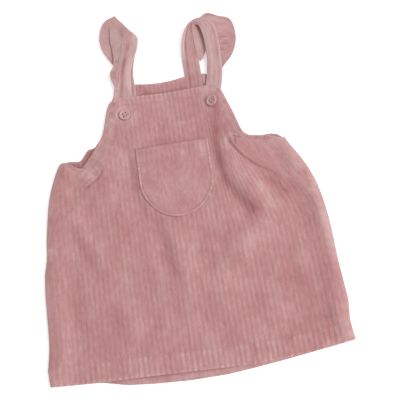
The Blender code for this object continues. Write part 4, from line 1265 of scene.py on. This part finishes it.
def makeAllStitches(made):
    lift = stitching["lift"]
    hem, top = np.linspace(-156, 154, 120), np.linspace(-56, 58, 50)
    makeStitches("panelStitches", (
        onCloth(hem, edgeY("frontHem", hem) + dress["hemDepth"], lift),
        onCloth(top, edgeY("frontTop", top) - dress["bibHem"], lift),
    ), made, "rib_velour")
    inset, look = pocket["stitch"], pocket
    left, right = look["centre"] - look["half"], look["centre"] + look["half"]
    rim = [(left + inset, look["top"] - 1.5)]
    rim += [pocketArc(a, inset) for a in np.linspace(-90, 90, 60)]
    rim.append((right - inset, look["top"] - 1.5))
    hem = np.stack([np.linspace(left + 5, right - 5, 30), np.full(30, look["top"] - look["hem"])], axis=1)
    lines = []
    for line, over in ((evenPoints(rim, 90), 0.10), (hem, look["puff"] + lift)):
        height = restingHeight(line[:, 0], line[:, 1]) + look["cloth"] + look["lift"] + over
        lines.append(np.column_stack([line, height]))
    makeStitches("pocketStitches", lines, made, "rib_velour")
    lines = []
    for side in ("left", "right"):
        rows = smoothRows(bands[side], np.linspace(0.2, len(bands[side]) - 2.2, 80))
        spot = rows[:, 2:] + unit(rows[:, :2] - rows[:, 2:]) * bands["stitch"]
        height = restingHeight(spot[:, 0], spot[:, 1], bands["bridge"]) + bands["lift"] - 0.2
        lines.append(np.column_stack([spot, height]))
    makeStitches("bandStitches", lines, made, "smooth_velour")


# Buttons and the worked ends of their buttonholes

buttons = {
    "radius": 6.75, "holeRadius": 0.95, "holeOffset": 1.7, "clear": 0.3,
    # radius and height of the turned profile, from the middle of the top round to the middle of the back
    "profile": (
        (0, 1.9), (3.9, 1.9), (4.5, 2), (4.9, 2.35), (5.4, 2.6), (5.9, 2.6), (6.4, 2.4), (6.7, 1.95),
        (6.75, 1.4), (6.5, 0.75), (5.9, 0.3), (4.8, 0.05), (0, 0),
    ),
    # side, place, tilt, the way it tilts and the turn of its holes
    "places": (("left", -49, 80.7, 3, 200, 22), ("right", 57, 80, 27, 192, 34)),
    "bars": ((-49.6, 96.2, -42.6, 95), (50.4, 96.8, 59.8, 95.2)),
    "barHalf": 0.9, "barStep": 0.42, "barLift": 0.45,
    # how a strand runs from hole to hole: place between them, height
    "route": ((-1, -1.2), (-0.9, 1.2), (-0.6, 2.05), (0, 2.15), (0.6, 2.05), (0.9, 1.2), (1, -1.2)),
    "strandRadius": 0.24, "strandSides": 6,
    "strands": (-1.95, -1.45, 1.45, 1.95),  # how far each lies from the button's middle
}


def makeButtonMaterial():
    made, tree, shader = newMaterial("dyedButton")
    cloud = spread(tree, grain(tree, 260.0, 3.0), 0.3, 0.7)
    fine = grain(tree, 3200.0)
    addBump(tree, shader, fine, 0.12, 0.0001)
    feed(tree, shader, {
        "Base Color": mixColour(tree, cloud, (0.435, 0.252, 0.246, 1), (0.48, 0.29, 0.282, 1)),
        "Roughness": spread(tree, fine, 0.3, 0.7, 0.36, 0.48), "Specular IOR Level": 0.4,
    })
    return made


def addShape(name, shape, made):  # an object from a bmesh
    mesh = bpy.data.meshes.new(name)
    shape.to_mesh(mesh)
    shape.free()
    mesh.materials.append(made)
    return addObject(name, mesh)


def turnButton(name, made):  # a turned body with four holes through it
    shape = bmesh.new()
    spots = [shape.verts.new((r * mm, 0.0, z * mm)) for r, z in buttons["profile"]]
    for a, b in zip(spots, spots[1:]):
        shape.edges.new((a, b))
    bmesh.ops.spin(shape, geom=shape.verts[:] + shape.edges[:], cent=(0, 0, 0), axis=(0, 0, 1),
                   angle=2 * math.pi, steps=64, use_duplicate=False)
    bmesh.ops.remove_doubles(shape, verts=shape.verts, dist=1e-6)
    bmesh.ops.recalc_face_normals(shape, faces=shape.faces)
    piece = addShape(name, shape, made)
    cutters = []
    offset = buttons["holeOffset"] * mm
    for x, y in ((-offset, -offset), (-offset, offset), (offset, -offset), (offset, offset)):
        bpy.ops.mesh.primitive_cylinder_add(vertices=24, radius=buttons["holeRadius"] * mm, depth=8 * mm)
        cutter = bpy.context.active_object
        cutter.location = (x, y, mm)
        cutters.append(cutter)
        cut = piece.modifiers.new("hole", "BOOLEAN")
        cut.operation = "DIFFERENCE"
        cut.object = cutter
    bpy.context.view_layer.update()
    cutMesh = bpy.data.meshes.new_from_object(piece.evaluated_get(bpy.context.evaluated_depsgraph_get()))
    piece.modifiers.clear()
    piece.data = cutMesh
    for cutter in cutters:
        bpy.data.objects.remove(cutter, do_unlink=True)
    return piece


def makeButton(side, x, y, tilt, tiltWay, turn, made, thread):
    look = buttons
    piece = turnButton("button" + side.capitalize(), made)
    lift = abs(math.sin(math.radians(tilt))) * look["radius"] * 0.6
    base = float(frontOuter(np.array([x]), np.array([y]))[0]) + look["clear"] + lift
    way = Matrix.Rotation(math.radians(tiltWay), 4, "Z")
    lean = way @ Matrix.Rotation(math.radians(tilt), 4, "Y") @ way.inverted()
    placed = Matrix.Translation(Vector(toWorld((x, y, base)))) @ lean
    placed = placed @ Matrix.Rotation(math.radians(turn), 4, "Z")
    piece.data.transform(placed)
    piece.data.shade_smooth()
    piece.data.set_sharp_from_angle(angle=math.radians(40))
    finishPiece(piece, "button", "button_" + side)
    turns = np.linspace(0, 2 * math.pi, look["strandSides"], endpoint=False)
    ring = look["strandRadius"] * np.stack([0 * turns, np.cos(turns), -np.sin(turns)], axis=1)
    points, faces = [], []
    for across in look["strands"]:
        faces += tubeFaces(len(points), len(look["route"]), len(ring))
        for along, high in look["route"]:
            spots = (ring + (along * look["holeOffset"], across, high)) * mm
            points += [placed @ Vector(spot) for spot in spots]
    finishPiece(addMesh("buttonThread" + side.capitalize(), np.array(points), faces, (thread,)), "button")


def makeBars(made):  # satin stitches side by side across each bar
    look = buttons
    lines = []
    for bar in look["bars"]:
        start, end = np.array(bar).reshape(2, 2)
        along = unit(end - start)
        beside = np.array([-along[1], along[0]]) * look["barHalf"]
        for n in range(int(np.linalg.norm(end - start) / look["barStep"])):
            centre = start + along * look["barStep"] * n
            lines.append(onCloth(*np.array([centre - beside, centre + beside]).T, look["barLift"]))
    makeStitches("buttonholeBars", lines, made, "rib_velour")


# Building

makeFront()
makeBack()
makePocket()
for side in ("left", "right"):
    makeBand(side)
    makeStrap(side)
    makeFrill(side)
buttonMaterial = makeButtonMaterial()
threadMaterial = makeThreadMaterial()
for place in buttons["places"]:
    makeButton(*place, buttonMaterial, threadMaterial)
makeAllStitches(threadMaterial)
makeBars(threadMaterial)


# Table, light and camera

studio = {
    "target": (24.2, -34.6, 0.0), "away": 621.0, "tilt": 18.0, "roll": -9.2, "lens": 48.6,
    "sky": 0.70, "key": 112.0, "keySize": 2.0, "keyFrom": (2.3, -0.6, 2.7),
    "table": (0.93, 0.93, 0.925), "tableHalf": 3.0, "tableTop": -0.2, "tableGlow": 0.32,
}


def makeTable():
    made, tree, shader = newMaterial("paleTable")
    speckle = spread(tree, grain(tree, 12.0), 0.2, 0.8)
    base = np.array(studio["table"])
    feed(tree, shader, {
        "Base Color": mixColour(tree, speckle, (*base, 1.0), (*base * 0.99, 1.0)),
        "Roughness": 0.9, "Specular IOR Level": 0.1,
        "Emission Color": (1.0, 1.0, 1.0, 1.0), "Emission Strength": studio["tableGlow"],
    })
    shape = bmesh.new()
    bmesh.ops.create_grid(shape, x_segments=2, y_segments=2, size=studio["tableHalf"])
    floor = addShape("floor", shape, made)
    floor.location = (0, 0, studio["tableTop"] * mm)


def makeLight():
    world = bpy.data.worlds.new("studio")
    bpy.context.scene.world = world
    world.use_nodes = True
    feed(world.node_tree, world.node_tree.nodes["Background"], {
        "Color": (1.0, 1.0, 1.0, 1.0), "Strength": studio["sky"],
    })
    lamp = bpy.data.lights.new("key", "AREA")
    lamp.energy = studio["key"]
    lamp.size = studio["keySize"]
    key = addObject("key", lamp)
    key.location = studio["keyFrom"]
    key.rotation_euler = (-Vector(studio["keyFrom"])).to_track_quat("-Z", "Y").to_euler()


def makeCamera():
    tilt, roll = math.radians(studio["tilt"]), math.radians(studio["roll"])
    behind = Vector((0, -math.sin(tilt), math.cos(tilt)))
    across = Vector((1, 0, 0))
    upward = behind.cross(across)
    right = across * math.cos(roll) + upward * math.sin(roll)
    top = upward * math.cos(roll) - across * math.sin(roll)
    lens = bpy.data.cameras.new("camera")
    lens.lens = studio["lens"]
    lens.sensor_width = 36.0
    pose = Matrix((right, top, behind)).transposed().to_4x4()
    pose.translation = (Vector(studio["target"]) + behind * studio["away"]) * mm
    camera = addObject("camera", lens)
    camera.matrix_world = pose
    bpy.context.scene.camera = camera


makeTable()
makeLight()
makeCamera()
bpy.context.scene.view_settings.view_transform = "Standard"
print("studio made")
